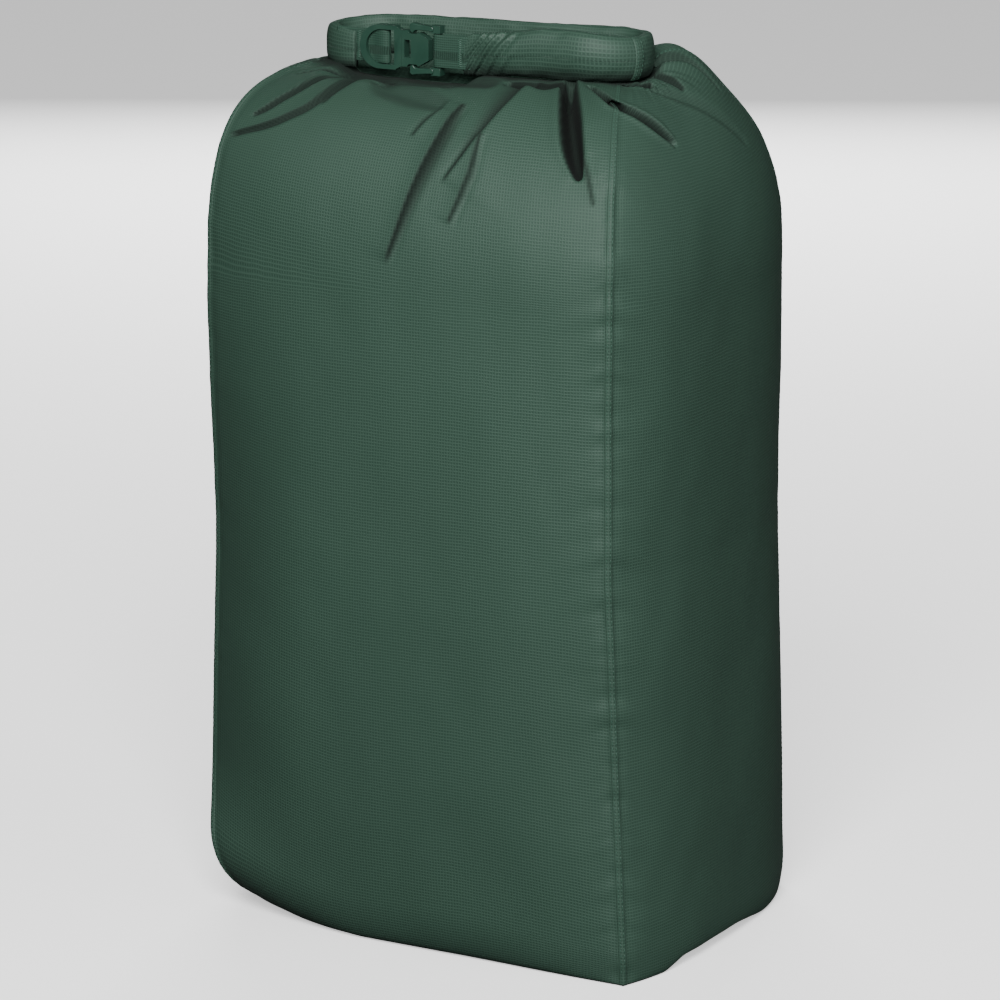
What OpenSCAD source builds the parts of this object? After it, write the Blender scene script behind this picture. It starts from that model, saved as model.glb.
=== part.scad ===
// Roll-top stuff sack, standing and stuffed full, closed: the collar is rolled and its two ends are
// clipped together into a ring. Millimetres, +Z up, the front panel faces -Y, the right side panel +X.
// The origin is the middle of the underside, z = 0 is the plane it stands on.

/* [Body] */
// half width between the corner seams, at mid height
corner_x = 137; // [100:1:200]
// half depth between the corner seams, at mid height
corner_y = 115; // [70:1:150]
// how much wider (half) the corners stand at the foot
foot_x = 10; // [0:0.5:15]
// how much shallower (half) the corners stand at the foot
foot_y = 4; // [0:0.5:15]
// outward swell of the front and back panels
front_swell = 14; // [5:1:40]
// outward swell of the side panels
side_swell = 22; // [5:1:40]
// fabric thickness of the panels
panel_t = 1.2; // [0.8:0.1:3]
// height of the rounding above the base seam
foot_round = 28; // [10:1:60]
// how far the base seam stands in from the panels
foot_inset = 8; // [3:1:30]
// height of the rounding at the slumped front left foot
slump_round = 56; // [20:1:70]
// how far the slumped front left foot stands in
slump_inset = 43; // [5:1:50]
// height where the shoulders start
shoulder_z = 411; // [350:1:480]

/* [Neck and roll] */
// height of the roll's underside
roll_z0 = 528.5; // [450:0.5:600]
// height of the rolled collar
roll_h = 25; // [15:0.5:40]
// thickness of the rolled collar
roll_w = 9; // [6:0.5:14]
// mid-line radius of the two bends of the ring
ring_r = 27.5; // [20:0.5:45]
// centre of the left bend
ring_left = -83.3; // [-120:0.1:-60]
// centre of the right bend
ring_right = 70.3; // [50:0.1:110]
// front end of the rolled collar, on the male buckle's side
roll_end = -8; // [-20:1:10]
// thickness of one wrap
wrap_t = 0.8; // [0.5:0.1:1.5]

/* [Webbing] */
// width of the webbing
web_w = 20; // [15:0.5:25]
// thickness of the webbing
web_t = 1.2; // [0.8:0.1:2]
// centre of the male tab's fold
loop_x = -26.6; // [-30:0.1:-20]

/* [Buckle] */
// centre of the female's crossbar
bar_x = -62; // [-66:0.5:-58]
// radius of the female's outer arc
arc_r = 13.4; // [11:0.1:16]
// right end of the female's nose
nose_x = -31.2; // [-34:0.1:-31]
// pivot of the male's arms along the ring
arm_x = -30; // [-32:0.1:-29]
// pivot of the male's arms above and below the middle
arm_z = 12.8; // [12:0.1:14]
// radius of the round root of each arm
arm_r = 1.7; // [1.2:0.1:2.2]
// play round the root of each arm
arm_play = 0.4; // [0.3:0.05:0.6]

/* [Hidden] */
$fn = 64;

fabric = [0.18, 0.29, 0.23];
tape_c = [0.14, 0.22, 0.18];
web_c = [0.13, 0.22, 0.17];
plastic_c = [0.12, 0.19, 0.16];

roll_zc = roll_z0 + roll_h / 2;
yb = -ring_r;
neck_x = (ring_right - ring_left) / 2 + 20;
neck_y = 14;
neck_cx = (ring_right + ring_left) / 2;
neck_top = roll_z0 - 8;
// stations up the height: foot rounding, wall, shoulder
JA = 3;
JB = 9;
NJ = 21;
// how square each corner's shoulder is, front left, front right, back right, back left
square_c = [3.3, 2.1, 2.25, 2.0];
// height and inset of the rounding over the base seam at the same corners
round_c = [slump_round, 0.75 * foot_round, foot_round, 1.2 * foot_round];
inset_c = [slump_inset, 0.2 * foot_inset, 0.4 * foot_inset, 1.5 * foot_inset];
dip_c = 0.25;

function cl(v, a, b) = min(max(v, a), b);
function swell(s) = 1 - pow(abs(s), 3);
// one point of a panel's outline: side 0 front, 1 right, 2 back, 3 left; s runs -1 to 1
function sec(side, s, cx, cy, fy, sx) =
    side == 0 ? [cx * s, -(cy + fy * swell(s))] :
    side == 1 ? [cx + sx * swell(s), cy * s] :
    side == 2 ? [-cx * s, cy + fy * swell(s)] : [-(cx + sx * swell(s)), -cy * s];
function foot(z) = 1 - cl(z / 250, 0, 1);
function square_at(side, s) =
    square_c[side] + (square_c[(side + 1) % 4] - square_c[side]) * (s + 1) / 2 - dip_c * (1 - s * s);
// a foot value across a panel: its middle value, turning to each corner's own
function at_foot(side, s, mid, corners) =
    mid + (corners[s < 0 ? side : (side + 1) % 4] - mid) * pow(cl((abs(s) - 0.25) / 0.75, 0, 1), 1.5);
function st_z(side, s, j) = let (r = at_foot(side, s, foot_round, round_c))
    j <= JA ? r * (1 - cos(90 * j / JA)) : r + (shoulder_z - r) * cl((j - JA) / (JB - JA), 0, 1);
function st_in(side, s, j) =
    j <= JA ? at_foot(side, s, foot_inset, inset_c) * (1 - sin(90 * j / JA)) : 0;
function st_a(j) = 90 * cl((j - JB) / (NJ - JB), 0, 1);
// g goes 0 to 1 from the wall to the neck, h from the shoulder's start to the neck's height
function gg(side, s, j) = 1 - pow(cos(st_a(j)), 2 / square_at(side, s));
function hh(side, s, j) = pow(sin(st_a(j)), 2 / square_at(side, s));
function fullness(z) = 0.5 + 0.5 * sin(90 * cl(z / 150, 0, 1));
// a point of the fabric, d inside the outer face
function pt(side, s, j, d) =
    let (z = st_z(side, s, j), g = gg(side, s, j), h = hh(side, s, j), i = st_in(side, s, j),
        cx = corner_x + foot_x * foot(z) - i - d, cy = corner_y - foot_y * foot(z) - i - d,
        a = sec(side, s, cx, cy, front_swell * fullness(z), side_swell * fullness(z)),
        b = sec(side, s, neck_x - d, neck_y - d, 13, 9) + [neck_cx, 0],
        p = a + (b - a) * g)
    [p.x, p.y, z + (neck_top - d - shoulder_z) * h];
// where a panel's edge stands short of the corner, in s
function edge_s(side, j, gap) =
    let (g = gg(side, 1, j), w = (side % 2 == 0 ? corner_x : corner_y),
        n = (side % 2 == 0 ? neck_x : neck_y))
    1 - gap / (w + (n - w) * g);

// a closed sheet from two grids of the same size, outer first
module sheet_of(outer, inner) {
    nj = len(outer);
    ni = len(outer[0]);
    pts = concat([for (r = outer) each r], [for (r = inner) each r]);
    o = nj * ni;
    polyhedron(pts, concat(
        [for (j = [0 : nj - 2], i = [0 : ni - 2]) each [
            [j * ni + i, (j + 1) * ni + i + 1, j * ni + i + 1],
            [j * ni + i, (j + 1) * ni + i, (j + 1) * ni + i + 1]]],
        [for (j = [0 : nj - 2], i = [0 : ni - 2]) each [
            [o + j * ni + i, o + j * ni + i + 1, o + (j + 1) * ni + i + 1],
            [o + j * ni + i, o + (j + 1) * ni + i + 1, o + (j + 1) * ni + i]]],
        [for (i = [0 : ni - 2]) each [
            [i, i + 1, o + i + 1], [i, o + i + 1, o + i]]],
        [for (i = [0 : ni - 2]) let (a = (nj - 1) * ni) each [
            [a + i, o + a + i, o + a + i + 1], [a + i, o + a + i + 1, a + i + 1]]],
        [for (j = [0 : nj - 2]) each [
            [j * ni, o + j * ni, o + (j + 1) * ni], [j * ni, o + (j + 1) * ni, (j + 1) * ni]]],
        [for (j = [0 : nj - 2]) let (a = ni - 1) each [
            [j * ni + a, (j + 1) * ni + a, o + (j + 1) * ni + a],
            [j * ni + a, o + (j + 1) * ni + a, o + j * ni + a]]]), convexity = 6);
}
module panel(side, gap, cols) {
    sheet_of(
        [for (j = [0 : NJ]) [for (i = [0 : cols]) pt(side, (2 * i / cols - 1) * edge_s(side, j, gap), j, 0)]],
        [for (j = [0 : NJ])
            [for (i = [0 : cols]) pt(side, (2 * i / cols - 1) * edge_s(side, j, gap), j, panel_t)]]);
}
// a closed bar along a corner: cross-sections as loops of points
module bar_of(loops) {
    nj = len(loops);
    n = len(loops[0]);
    polyhedron([for (r = loops) each r], concat(
        [[for (i = [0 : n - 1]) i]],
        [[for (i = [n - 1 : -1 : 0]) (nj - 1) * n + i]],
        [for (j = [0 : nj - 2], i = [0 : n - 1]) let (k = (i + 1) % n) each [
            [j * n + i, (j + 1) * n + i, (j + 1) * n + k], [j * n + i, (j + 1) * n + k, j * n + k]]]),
        convexity = 6);
}
// the raised seam outside a corner: c is the corner after panel `side`
module seam_ridge(side) {
    dx = (side == 0 || side == 1) ? 1 : -1;
    dy = (side == 1 || side == 2) ? 1 : -1;
    s = dx * dy < 0 ? 1 : -1;
    bar_of([for (j = [0 : NJ]) let (c = pt(side, 1, j, 0), up = 0.7 * hh(side, 1, j) + (j == 0 ? 2 : 0))
        [for (k = [0, 1, 2, 3]) let (a = 45 + 90 * k * s)
            c + [dx * (1.7 + cos(a)), dy * (1.7 + sin(a)), up]]]);
}
// the seam tape inside a corner, an angle strip 8 mm each way
module seam_tape(side) {
    nx = (side + 1) % 4;
    dx = (side == 0 || side == 1) ? 1 : -1;
    dy = (side == 1 || side == 2) ? 1 : -1;
    d1 = panel_t + 0.6;
    d2 = panel_t + 1.2;
    bar_of([for (j = [1 : NJ - 2])
        let (a = edge_s(side, j, 8), b = edge_s(nx, j, 8))
        [pt(side, a, j, d1), pt(side, 1, j, d1), pt(nx, -b, j, d1),
            pt(nx, -b, j, d2), pt(side, 1, j, d2), pt(side, a, j, d2)]]);
}
function outline(j, d) = [for (side = [0 : 3]) for (i = [0 : 11])
    let (p = pt(side, 2 * i / 12 - 1, j, d)) [p.x, p.y]];

module front_panel() { color(fabric) panel(0, panel_t + 0.5, 16); }
module right_panel() { color(fabric) panel(1, 0.3, 12); }
module back_panel() { color(fabric) panel(2, panel_t + 0.5, 16); }
module left_panel() { color(fabric) panel(3, 0.3, 12); }
module base_panel() { color(fabric) linear_extrude(1.4) polygon(outline(0, panel_t + 0.4)); }
module seam_front_left() { color(fabric) seam_ridge(3); }
module seam_front_right() { color(fabric) seam_ridge(0); }
module seam_back_right() { color(fabric) seam_ridge(1); }
module seam_back_left() { color(fabric) seam_ridge(2); }
module tape_front_left() { color(tape_c) seam_tape(3); }
module tape_front_right() { color(tape_c) seam_tape(0); }
module tape_back_right() { color(tape_c) seam_tape(1); }
module tape_back_left() { color(tape_c) seam_tape(2); }
module base_seam_tape() {
    color(tape_c) translate([0, 0, 1.7]) linear_extrude(0.6) difference() {
        polygon(outline(0, panel_t + 3.4));
        polygon(outline(0, panel_t + 11.4));
    }
}
module rrect(w, h, r) {
    square([w - 2 * r, h], center = true);
    square([w, h - 2 * r], center = true);
    for (x = [-1, 1], y = [-1, 1]) translate([x * (w / 2 - r), y * (h / 2 - r)]) circle(r);
}
// the ring's path: back straight, right bend, front straight to x_end, left bend through a_left
module track(x_end, a_left) {
    translate([ring_left, ring_r, roll_zc]) rotate([90, 0, 90])
        linear_extrude(ring_right - ring_left) children();
    translate([ring_right, 0, roll_zc]) rotate([0, 0, -90])
        rotate_extrude(angle = 180) translate([ring_r, 0]) children();
    translate([ring_right, -ring_r, roll_zc]) rotate([90, 0, -90])
        linear_extrude(ring_right - x_end) children();
    translate([ring_left, 0, roll_zc]) rotate([0, 0, 90])
        rotate_extrude(angle = a_left) translate([ring_r, 0]) children();
}
// the gathered cloth that closes the sack and stands up to the roll
module collar_gather() {
    color(fabric) {
        translate([neck_cx, 0, neck_top + 0.4]) linear_extrude(1.2) union() {
            square([ring_right - ring_left, 2 * ring_r + 1.2], center = true);
            for (x = [-1, 1]) translate([x * (ring_right - ring_left) / 2, 0]) circle(ring_r + 0.6);
        }
        track(roll_end, 180) translate([0, -roll_h / 2 - 3.4]) square([1.2, 6.2], center = true);
    }
}
module roll_outer_wrap() {
    color(fabric) track(roll_end, 180) difference() {
        rrect(roll_w, roll_h, 3);
        rrect(roll_w - 2 * wrap_t, roll_h - 2 * wrap_t, 3 - wrap_t);
    }
}
module roll_inner_wrap() {
    w = roll_w - 2 * wrap_t - 0.7;
    h = roll_h - 2 * wrap_t - 0.7;
    color(fabric) track(roll_end + 0.6, 179) difference() {
        rrect(w, h, 1.6);
        rrect(w - 2 * wrap_t, h - 2 * wrap_t, 1.6 - wrap_t);
    }
}
module hem_band() {
    color(fabric) track(14, 150) translate([-1.55, 0]) square([0.9, 18], center = true);
}
module stiffener_outer() {
    color([0.1, 0.1, 0.1]) track(14, 150) translate([1.4, 0]) square([1.0, 18.5], center = true);
}
module stiffener_inner() {
    color([0.1, 0.1, 0.1]) track(14, 150) translate([-0.1, 0]) square([1.0, 18.5], center = true);
}
module roll_seam_strip() {
    color(fabric) translate([ring_right, 0, roll_zc]) rotate([0, 0, -26])
        rotate_extrude(angle = 11) translate([ring_r + roll_w / 2 + 0.55, 0])
            square([0.6, 16], center = true);
}
module webbing_male() {
    r1 = 1.7;
    r2 = r1 + web_t;
    color(web_c) translate([0, yb, roll_zc - web_w / 2]) linear_extrude(web_w) difference() {
        union() {
            translate([loop_x, 0]) circle(r2);
            translate([loop_x, -r2]) square([-13 - loop_x, 2 * r2]);
            polygon([[-13, -r2], [-9, -web_t], [10, -web_t], [10, web_t], [-9, web_t], [-13, r2]]);
        }
        translate([loop_x, 0]) circle(r1);
        translate([loop_x, -r1]) square([-13 - loop_x, 2 * r1]);
        polygon([[-13.01, -r1], [-9.6, 0], [-13.01, r1]]);
    }
}
module webbing_female() {
    r1 = 1.8;
    r2 = r1 + web_t;
    color(web_c) translate([0, yb, roll_zc - web_w / 2]) linear_extrude(web_w) difference() {
        polygon(concat([for (a = [-90 : 15 : 90]) [bar_x + r2 * cos(a), r2 * sin(a)]],
            [[-67.4, 2.2], [-95, 2.2], [-95, -0.2], [-67.4, -0.2]]));
        polygon(concat([for (a = [-90 : 15 : 90]) [bar_x + r1 * cos(a), r1 * sin(a)]],
            [[-65.4, 1.2], [-65.4, 0.8]]));
    }
}
module tack(x, y) {
    translate([x, y, roll_zc - 8]) cube([1.6, 0.5, 16]);
    for (k = [0 : 5]) translate([x - 0.4, y, roll_zc - 7.8 + 3 * k]) cube([2.4, 0.5, 0.6]);
}
module bar_tack_male() { color(web_c) tack(-12 + 3, yb - web_t - 0.7); }
module bar_tack_female() { color(web_c) tack(-83.4, yb - 0.2 - 0.7); }

// flat shapes of the buckle, drawn in x and height, between two depths
module slab(y0, y1) {
    translate([0, yb + y1, roll_zc]) rotate([90, 0, 0]) linear_extrude(y1 - y0) children();
}
module buckle_female() {
    color(plastic_c) difference() {
        union() {
            slab(-3.6, -0.6) difference() {
                union() {
                    translate([-65.6, 0]) circle(arc_r);
                    translate([-65.6, -arc_r]) square([10.6, 2 * arc_r]);
                    polygon([[-55, -arc_r], [-50, -11], [-50, 11], [-55, arc_r]]);
                }
                translate([-64, 0]) circle(10.6);
                translate([-64, -10.6]) square([9, 21.2]);
            }
            for (m = [-1, 1]) translate([-67, yb - 3.6, roll_zc + m * 12 - 1.4]) cube([13, 6.2, 2.8]);
            slab(-3.2, 3.2) polygon([[-55, -12.5], [-52, -11], [-46.5, -11], [-45, -9.3], [-39.6, -9.3],
                [-38.8, -10], [-37.8, -10], [nose_x, -6.2], [nose_x, 6.2], [-37.8, 10], [-38.8, 10],
                [-39.6, 9.3], [-45, 9.3], [-46.5, 11], [-52, 11], [-55, 12.5]]);
            translate([bar_x, yb, roll_zc - 12]) cylinder(r = 1.4, h = 24);
        }
        translate([-48, yb - 6, roll_zc - 5.4]) cube([4.4, 12, 10.8]);
    }
}
module buckle_male() {
    color(plastic_c) {
        translate([loop_x, yb, roll_zc - 11.5]) cylinder(r = 1.3, h = 23);
        for (m = [-1, 1]) difference() {
            translate([-31, yb - 3, roll_zc + m * 12.85 - 2.35]) cube([7.6, 6, 4.7]);
            translate([arm_x, yb + 5, roll_zc + m * arm_z]) rotate([90, 0, 0])
                cylinder(r = arm_r + arm_play, h = 10);
            translate([-34, yb - 5, roll_zc + m * arm_z - 5]) cube([34 + arm_x, 10, 10]);
        }
    }
}
module arm(m) {
    color(plastic_c) {
        translate([arm_x, yb + 2.6, roll_zc + m * arm_z]) rotate([90, 0, 0])
            cylinder(r = arm_r, h = 5.2);
        slab(-2.6, 2.6) polygon([[arm_x, m * 11.4], [-37.5, m * 11.6], [-41.2, m * 11.4],
            [-42.6, m * 9.7], [-43.6, m * 9.7], [-44.6, m * 10.9], [-45, m * 14.6],
            [-43.2, m * 16], [-40.5, m * 15.4], [arm_x, m * 14.3]]);
    }
}
module arm_upper() { arm(1); }
module arm_lower() { arm(-1); }

front_panel();
right_panel();
back_panel();
left_panel();
base_panel();
seam_front_left();
seam_front_right();
seam_back_right();
seam_back_left();
tape_front_left();
tape_front_right();
tape_back_right();
tape_back_left();
base_seam_tape();
collar_gather();
roll_outer_wrap();
roll_inner_wrap();
hem_band();
stiffener_outer();
stiffener_inner();
roll_seam_strip();
webbing_male();
webbing_female();
bar_tack_male();
bar_tack_female();
buckle_female();
buckle_male();
arm_upper();
arm_lower();
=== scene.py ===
"""A roll-top stuff sack, standing and stuffed full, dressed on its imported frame.

The body is one lofted surface: a rounded outline with four creased corners runs from the base seam up
the walls and gathers under the rolled collar. Each panel is cut from that surface, so panels meet on it.
All lengths are in metres, in the frame's own axes: +Z up, the front panel towards -Y.
"""

import logging
import math
from dataclasses import dataclass, field
from enum import Enum

import bmesh
import bpy
import numpy as np
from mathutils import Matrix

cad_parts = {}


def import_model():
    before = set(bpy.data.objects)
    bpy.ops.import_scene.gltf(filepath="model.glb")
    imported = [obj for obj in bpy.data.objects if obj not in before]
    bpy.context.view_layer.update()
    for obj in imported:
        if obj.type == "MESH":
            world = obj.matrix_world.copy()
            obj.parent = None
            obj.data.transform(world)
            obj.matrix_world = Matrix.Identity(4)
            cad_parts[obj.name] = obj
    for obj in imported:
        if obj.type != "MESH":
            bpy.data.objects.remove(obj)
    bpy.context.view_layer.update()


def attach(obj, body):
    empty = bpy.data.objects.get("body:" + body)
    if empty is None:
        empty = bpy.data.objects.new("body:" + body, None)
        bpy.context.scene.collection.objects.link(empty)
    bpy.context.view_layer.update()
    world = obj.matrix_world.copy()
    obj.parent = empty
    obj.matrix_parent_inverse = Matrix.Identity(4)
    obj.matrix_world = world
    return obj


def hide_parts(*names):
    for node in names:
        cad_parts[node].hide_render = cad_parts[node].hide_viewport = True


LOG = logging.getLogger("stuff_sack")
Array = np.ndarray


class Side(Enum):
    """The four walls, in order round the sack, seen from above."""

    FRONT = 0
    RIGHT = 1
    BACK = 2
    LEFT = 3


# ---------------------------------------------------------------------------------------------
# small numeric helpers
# ---------------------------------------------------------------------------------------------


def smoothstep(x: Array, low: float, high: float) -> Array:
    """Rises smoothly from 0 at low to 1 at high.

    Args:
        x: values.
        low: where the rise starts.
        high: where the rise ends.

    Returns:
        3 k squared minus 2 k cubed, with k the clamped share of the way from low to high.
    """
    k = np.clip((np.asarray(x, float) - low) / (high - low), 0.0, 1.0)
    return k * k * (3.0 - 2.0 * k)


def value_noise(x: Array, y: Array, seed: int) -> Array:
    """Smooth noise on the plane, from -1 to 1, one bump per unit.

    A fixed table of random numbers stands at the whole-number points and is blended between them
    with the smooth step curve, along x and then along y.

    Args:
        x: first coordinate, in bumps.
        y: second coordinate, in bumps.
        seed: the table's seed.

    Returns:
        the noise, the same shape as x.
    """
    table = np.random.default_rng(seed).uniform(-1.0, 1.0, (64, 64))
    xi, yi = np.floor(x).astype(int), np.floor(y).astype(int)
    fx, fy = x - xi, y - yi
    fx, fy = fx * fx * (3 - 2 * fx), fy * fy * (3 - 2 * fy)
    a, b = table[xi % 64, yi % 64], table[(xi + 1) % 64, yi % 64]
    c, d = table[xi % 64, (yi + 1) % 64], table[(xi + 1) % 64, (yi + 1) % 64]
    return (a * (1 - fx) + b * fx) * (1 - fy) + (c * (1 - fx) + d * fx) * fy


def grid_normals(points: Array) -> Array:
    """Unit normals of a grid of points.

    Args:
        points: rows by columns by 3.

    Returns:
        the cross product of the column step and the row step, scaled to length one.
    """
    n = np.cross(np.gradient(points, axis=1), np.gradient(points, axis=0))
    return n / np.maximum(np.linalg.norm(n, axis=2, keepdims=True), 1e-12)


def along(path: Array) -> Array:
    """Length travelled along a path at each of its points, starting at 0."""
    return np.concatenate([[0.0], np.cumsum(np.linalg.norm(np.diff(path, axis=0), axis=1))])


def resample(path: Array, count: int) -> Array:
    """The same path with evenly spaced points.

    Args:
        path: n by 2 or 3 points.
        count: how many points to return.

    Returns:
        count points at equal steps of length along the path.
    """
    s = along(path)
    want = np.linspace(0.0, s[-1], count)
    return np.stack([np.interp(want, s, path[:, k]) for k in range(path.shape[1])], axis=1)


# ---------------------------------------------------------------------------------------------
# meshes
# ---------------------------------------------------------------------------------------------


def new_piece(name: str, points: Array, faces: Array, uv: Array | None = None) -> bpy.types.Object:
    """Puts arrays into a new smooth-shaded mesh object at the origin.

    Args:
        name: the piece's name.
        points: n by 3 positions.
        faces: m by 4 vertex numbers; a triangle repeats none and uses m by 3.
        uv: a texture coordinate per vertex in metres of cloth, or None.

    Returns:
        the linked object.
    """
    mesh = bpy.data.meshes.new(name)
    mesh.from_pydata(points.reshape(-1, 3).tolist(), [], faces.tolist())
    mesh.polygons.foreach_set("use_smooth", np.ones(len(mesh.polygons), bool))
    if uv is not None:
        layer = mesh.uv_layers.new(name="cloth")
        corner = np.empty(len(mesh.loops), np.int32)
        mesh.loops.foreach_get("vertex_index", corner)
        layer.data.foreach_set("uv", uv.reshape(-1, 2)[corner].ravel())
    mesh.validate()
    piece = bpy.data.objects.new(name, mesh)
    bpy.context.scene.collection.objects.link(piece)
    return piece


def paint_shade(piece: bpy.types.Object, dark: Array) -> None:
    """Stores the shade painted into each point's colour, 0 to 1, as the piece's attribute hollow."""
    made = piece.data.attributes.new("hollow", "FLOAT", "POINT")
    made.data.foreach_set("value", np.ascontiguousarray(dark.ravel(), dtype=np.float32))


def grid_faces(rows: int, cols: int, wrap: bool = False, flip: bool = False) -> Array:
    """Quads of a grid of vertices numbered row by row.

    Args:
        rows: rows of vertices.
        cols: columns of vertices.
        wrap: joins the last column to the first.
        flip: turns the faces over.

    Returns:
        m by 4 vertex numbers.
    """
    j, i = np.meshgrid(np.arange(rows - 1), np.arange(cols if wrap else cols - 1), indexing="ij")
    k = (i + 1) % cols
    q = np.stack([j * cols + i, j * cols + k, (j + 1) * cols + k, (j + 1) * cols + i], axis=-1).reshape(-1, 4)
    return q[:, ::-1] if flip else q


def thicken(piece: bpy.types.Object, thickness: float, offset: float = -1.0) -> None:
    """Gives an open sheet a thickness with a Solidify modifier.

    Args:
        piece: the sheet.
        thickness: metres.
        offset: -1 grows inwards, 1 outwards.
    """
    mod = piece.modifiers.new("thickness", "SOLIDIFY")
    mod.thickness = thickness
    mod.offset = offset
    mod.use_even_offset = False


def swept_tube(
    name: str, centre: Array, out: Array, up: Array, ring: Array, closed: bool = False
) -> bpy.types.Object:
    """A closed skin carried along a path.

    Point (j, i) is centre j, plus ring (j, i)'s first number times out j, plus its second times up j.

    Args:
        name: the piece's name.
        centre: n by 3 path.
        out: n by 3 first direction.
        up: n by 3 second direction.
        ring: n by m by 2 section, going round once.
        closed: joins the path's end to its start.

    Returns:
        the object, its ends filled with fans unless closed.
    """
    n, m = ring.shape[:2]
    pts = centre[:, None] + ring[..., :1] * out[:, None] + ring[..., 1:] * up[:, None]
    s, w = along(centre), along(np.concatenate([ring[0], ring[0, :1]]))
    uv = np.stack(np.meshgrid(s, w[:m], indexing="ij"), axis=-1)
    piece = new_piece(name, pts, grid_faces(n, m, wrap=True), uv)
    work = bmesh.new()
    work.from_mesh(piece.data)
    if closed:
        work.verts.ensure_lookup_table()
        bmesh.ops.bridge_loops(work, edges=[e for e in work.edges if e.is_boundary])
    else:
        bmesh.ops.holes_fill(work, edges=[e for e in work.edges if e.is_boundary], sides=0)
    bmesh.ops.recalc_face_normals(work, faces=work.faces)
    work.to_mesh(piece.data)
    work.free()
    piece.data.polygons.foreach_set("use_smooth", np.ones(len(piece.data.polygons), bool))
    return piece


def stitch_bars(
    name: str, centre: Array, run: Array, out: Array, length: float, radius: float
) -> bpy.types.Object:
    """Many short arched threads as one mesh.

    Each thread is five squares of points along its run; their lift follows an arch that starts and ends
    under the cloth.

    Args:
        name: the piece's name.
        centre: n by 3 thread middles.
        run: n by 3 unit directions along the threads.
        out: n by 3 unit directions off the cloth.
        length: each thread's length.
        radius: each thread's radius.

    Returns:
        the object.
    """
    n = len(centre)
    side = np.cross(run, out)
    side /= np.linalg.norm(side, axis=1, keepdims=True)
    step = np.array([-0.5, -0.34, 0.0, 0.34, 0.5]) * length
    lift = np.array([-1.2, 0.35, 0.75, 0.35, -1.2]) * radius
    turn = np.arange(4) * math.pi / 2 + math.pi / 4
    spine = centre[:, None] + run[:, None] * step[None, :, None] + out[:, None] * lift[None, :, None]
    loop = side[:, None] * np.cos(turn)[None, :, None] + out[:, None] * np.sin(turn)[None, :, None]
    pts = spine[:, :, None] + radius * loop[:, None]
    one = grid_faces(5, 4, wrap=True)
    one = np.concatenate([one, [[3, 2, 1, 0]], [[16, 17, 18, 19]]])
    faces = (one[None] + 20 * np.arange(n)[:, None, None]).reshape(-1, 4)
    uv = np.stack(
        np.broadcast_arrays(
            step[None, :, None], 0.0004 * turn[None, None, :], centre[:, 2][:, None, None]
        )[:2],
        axis=-1,
    )
    piece = new_piece(name, pts, faces, uv)
    work = bmesh.new()
    work.from_mesh(piece.data)
    bmesh.ops.recalc_face_normals(work, faces=work.faces)
    work.to_mesh(piece.data)
    work.free()
    return piece


def stitch_line(
    name: str, path: Array, normal: Array, pitch: float, length: float, radius: float
) -> bpy.types.Object:
    """A line of stitches along a path on a surface.

    Args:
        name: the piece's name.
        path: n by 3 points on the surface.
        normal: n by 3 unit normals there.
        pitch: distance from one stitch to the next.
        length: each stitch's length.
        radius: the thread's radius.

    Returns:
        the object.
    """
    s = along(path)
    at = (np.arange(int(s[-1] / pitch)) + 0.5) * pitch

    def read(values: Array) -> Array:
        """Values along the path at the stitches."""
        return np.stack([np.interp(at, s, values[:, k]) for k in range(3)], axis=1)

    centre, out = read(path), read(normal)
    run = read(np.gradient(path, axis=0))
    run /= np.linalg.norm(run, axis=1, keepdims=True)
    out -= run * np.einsum("nk,nk->n", run, out)[:, None]
    out /= np.linalg.norm(out, axis=1, keepdims=True)
    return stitch_bars(name, centre, run, out, length, radius)


# ---------------------------------------------------------------------------------------------
# shader building blocks
# ---------------------------------------------------------------------------------------------


@dataclass
class NodeSheet:
    """A short way to lay shader nodes in one tree."""

    tree: bpy.types.NodeTree

    def add(self, kind: str, **values: object) -> bpy.types.Node:
        """Adds a node; values are its properties, or its inputs as in_NUMBER or in_Name.

        Args:
            kind: the node's class name.
            values: properties and inputs. An input may be a socket, which is linked, or a value.

        Returns:
            the node.
        """
        node = self.tree.nodes.new(kind)
        for key, value in values.items():
            if key.startswith("in_"):
                name = key[3:]
                socket = node.inputs[int(name)] if name.isdigit() else node.inputs[name.replace("_", " ")]
                if isinstance(value, bpy.types.NodeSocket):
                    self.tree.links.new(value, socket)
                else:
                    socket.default_value = value
            else:
                setattr(node, key, value)
        return node

    def maths(self, operation: str, a: object, b: object = 0.0, clamp: bool = False) -> bpy.types.NodeSocket:
        """One Math node's output."""
        return self.add("ShaderNodeMath", operation=operation, use_clamp=clamp, in_0=a, in_1=b).outputs[0]

    def mix(self, factor: object, a: object, b: object, blend: str = "MIX") -> bpy.types.NodeSocket:
        """One colour Mix node's output."""
        node = self.add("ShaderNodeMix", data_type="RGBA", blend_type=blend, in_0=factor, in_6=a, in_7=b)
        return node.outputs[2]


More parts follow.
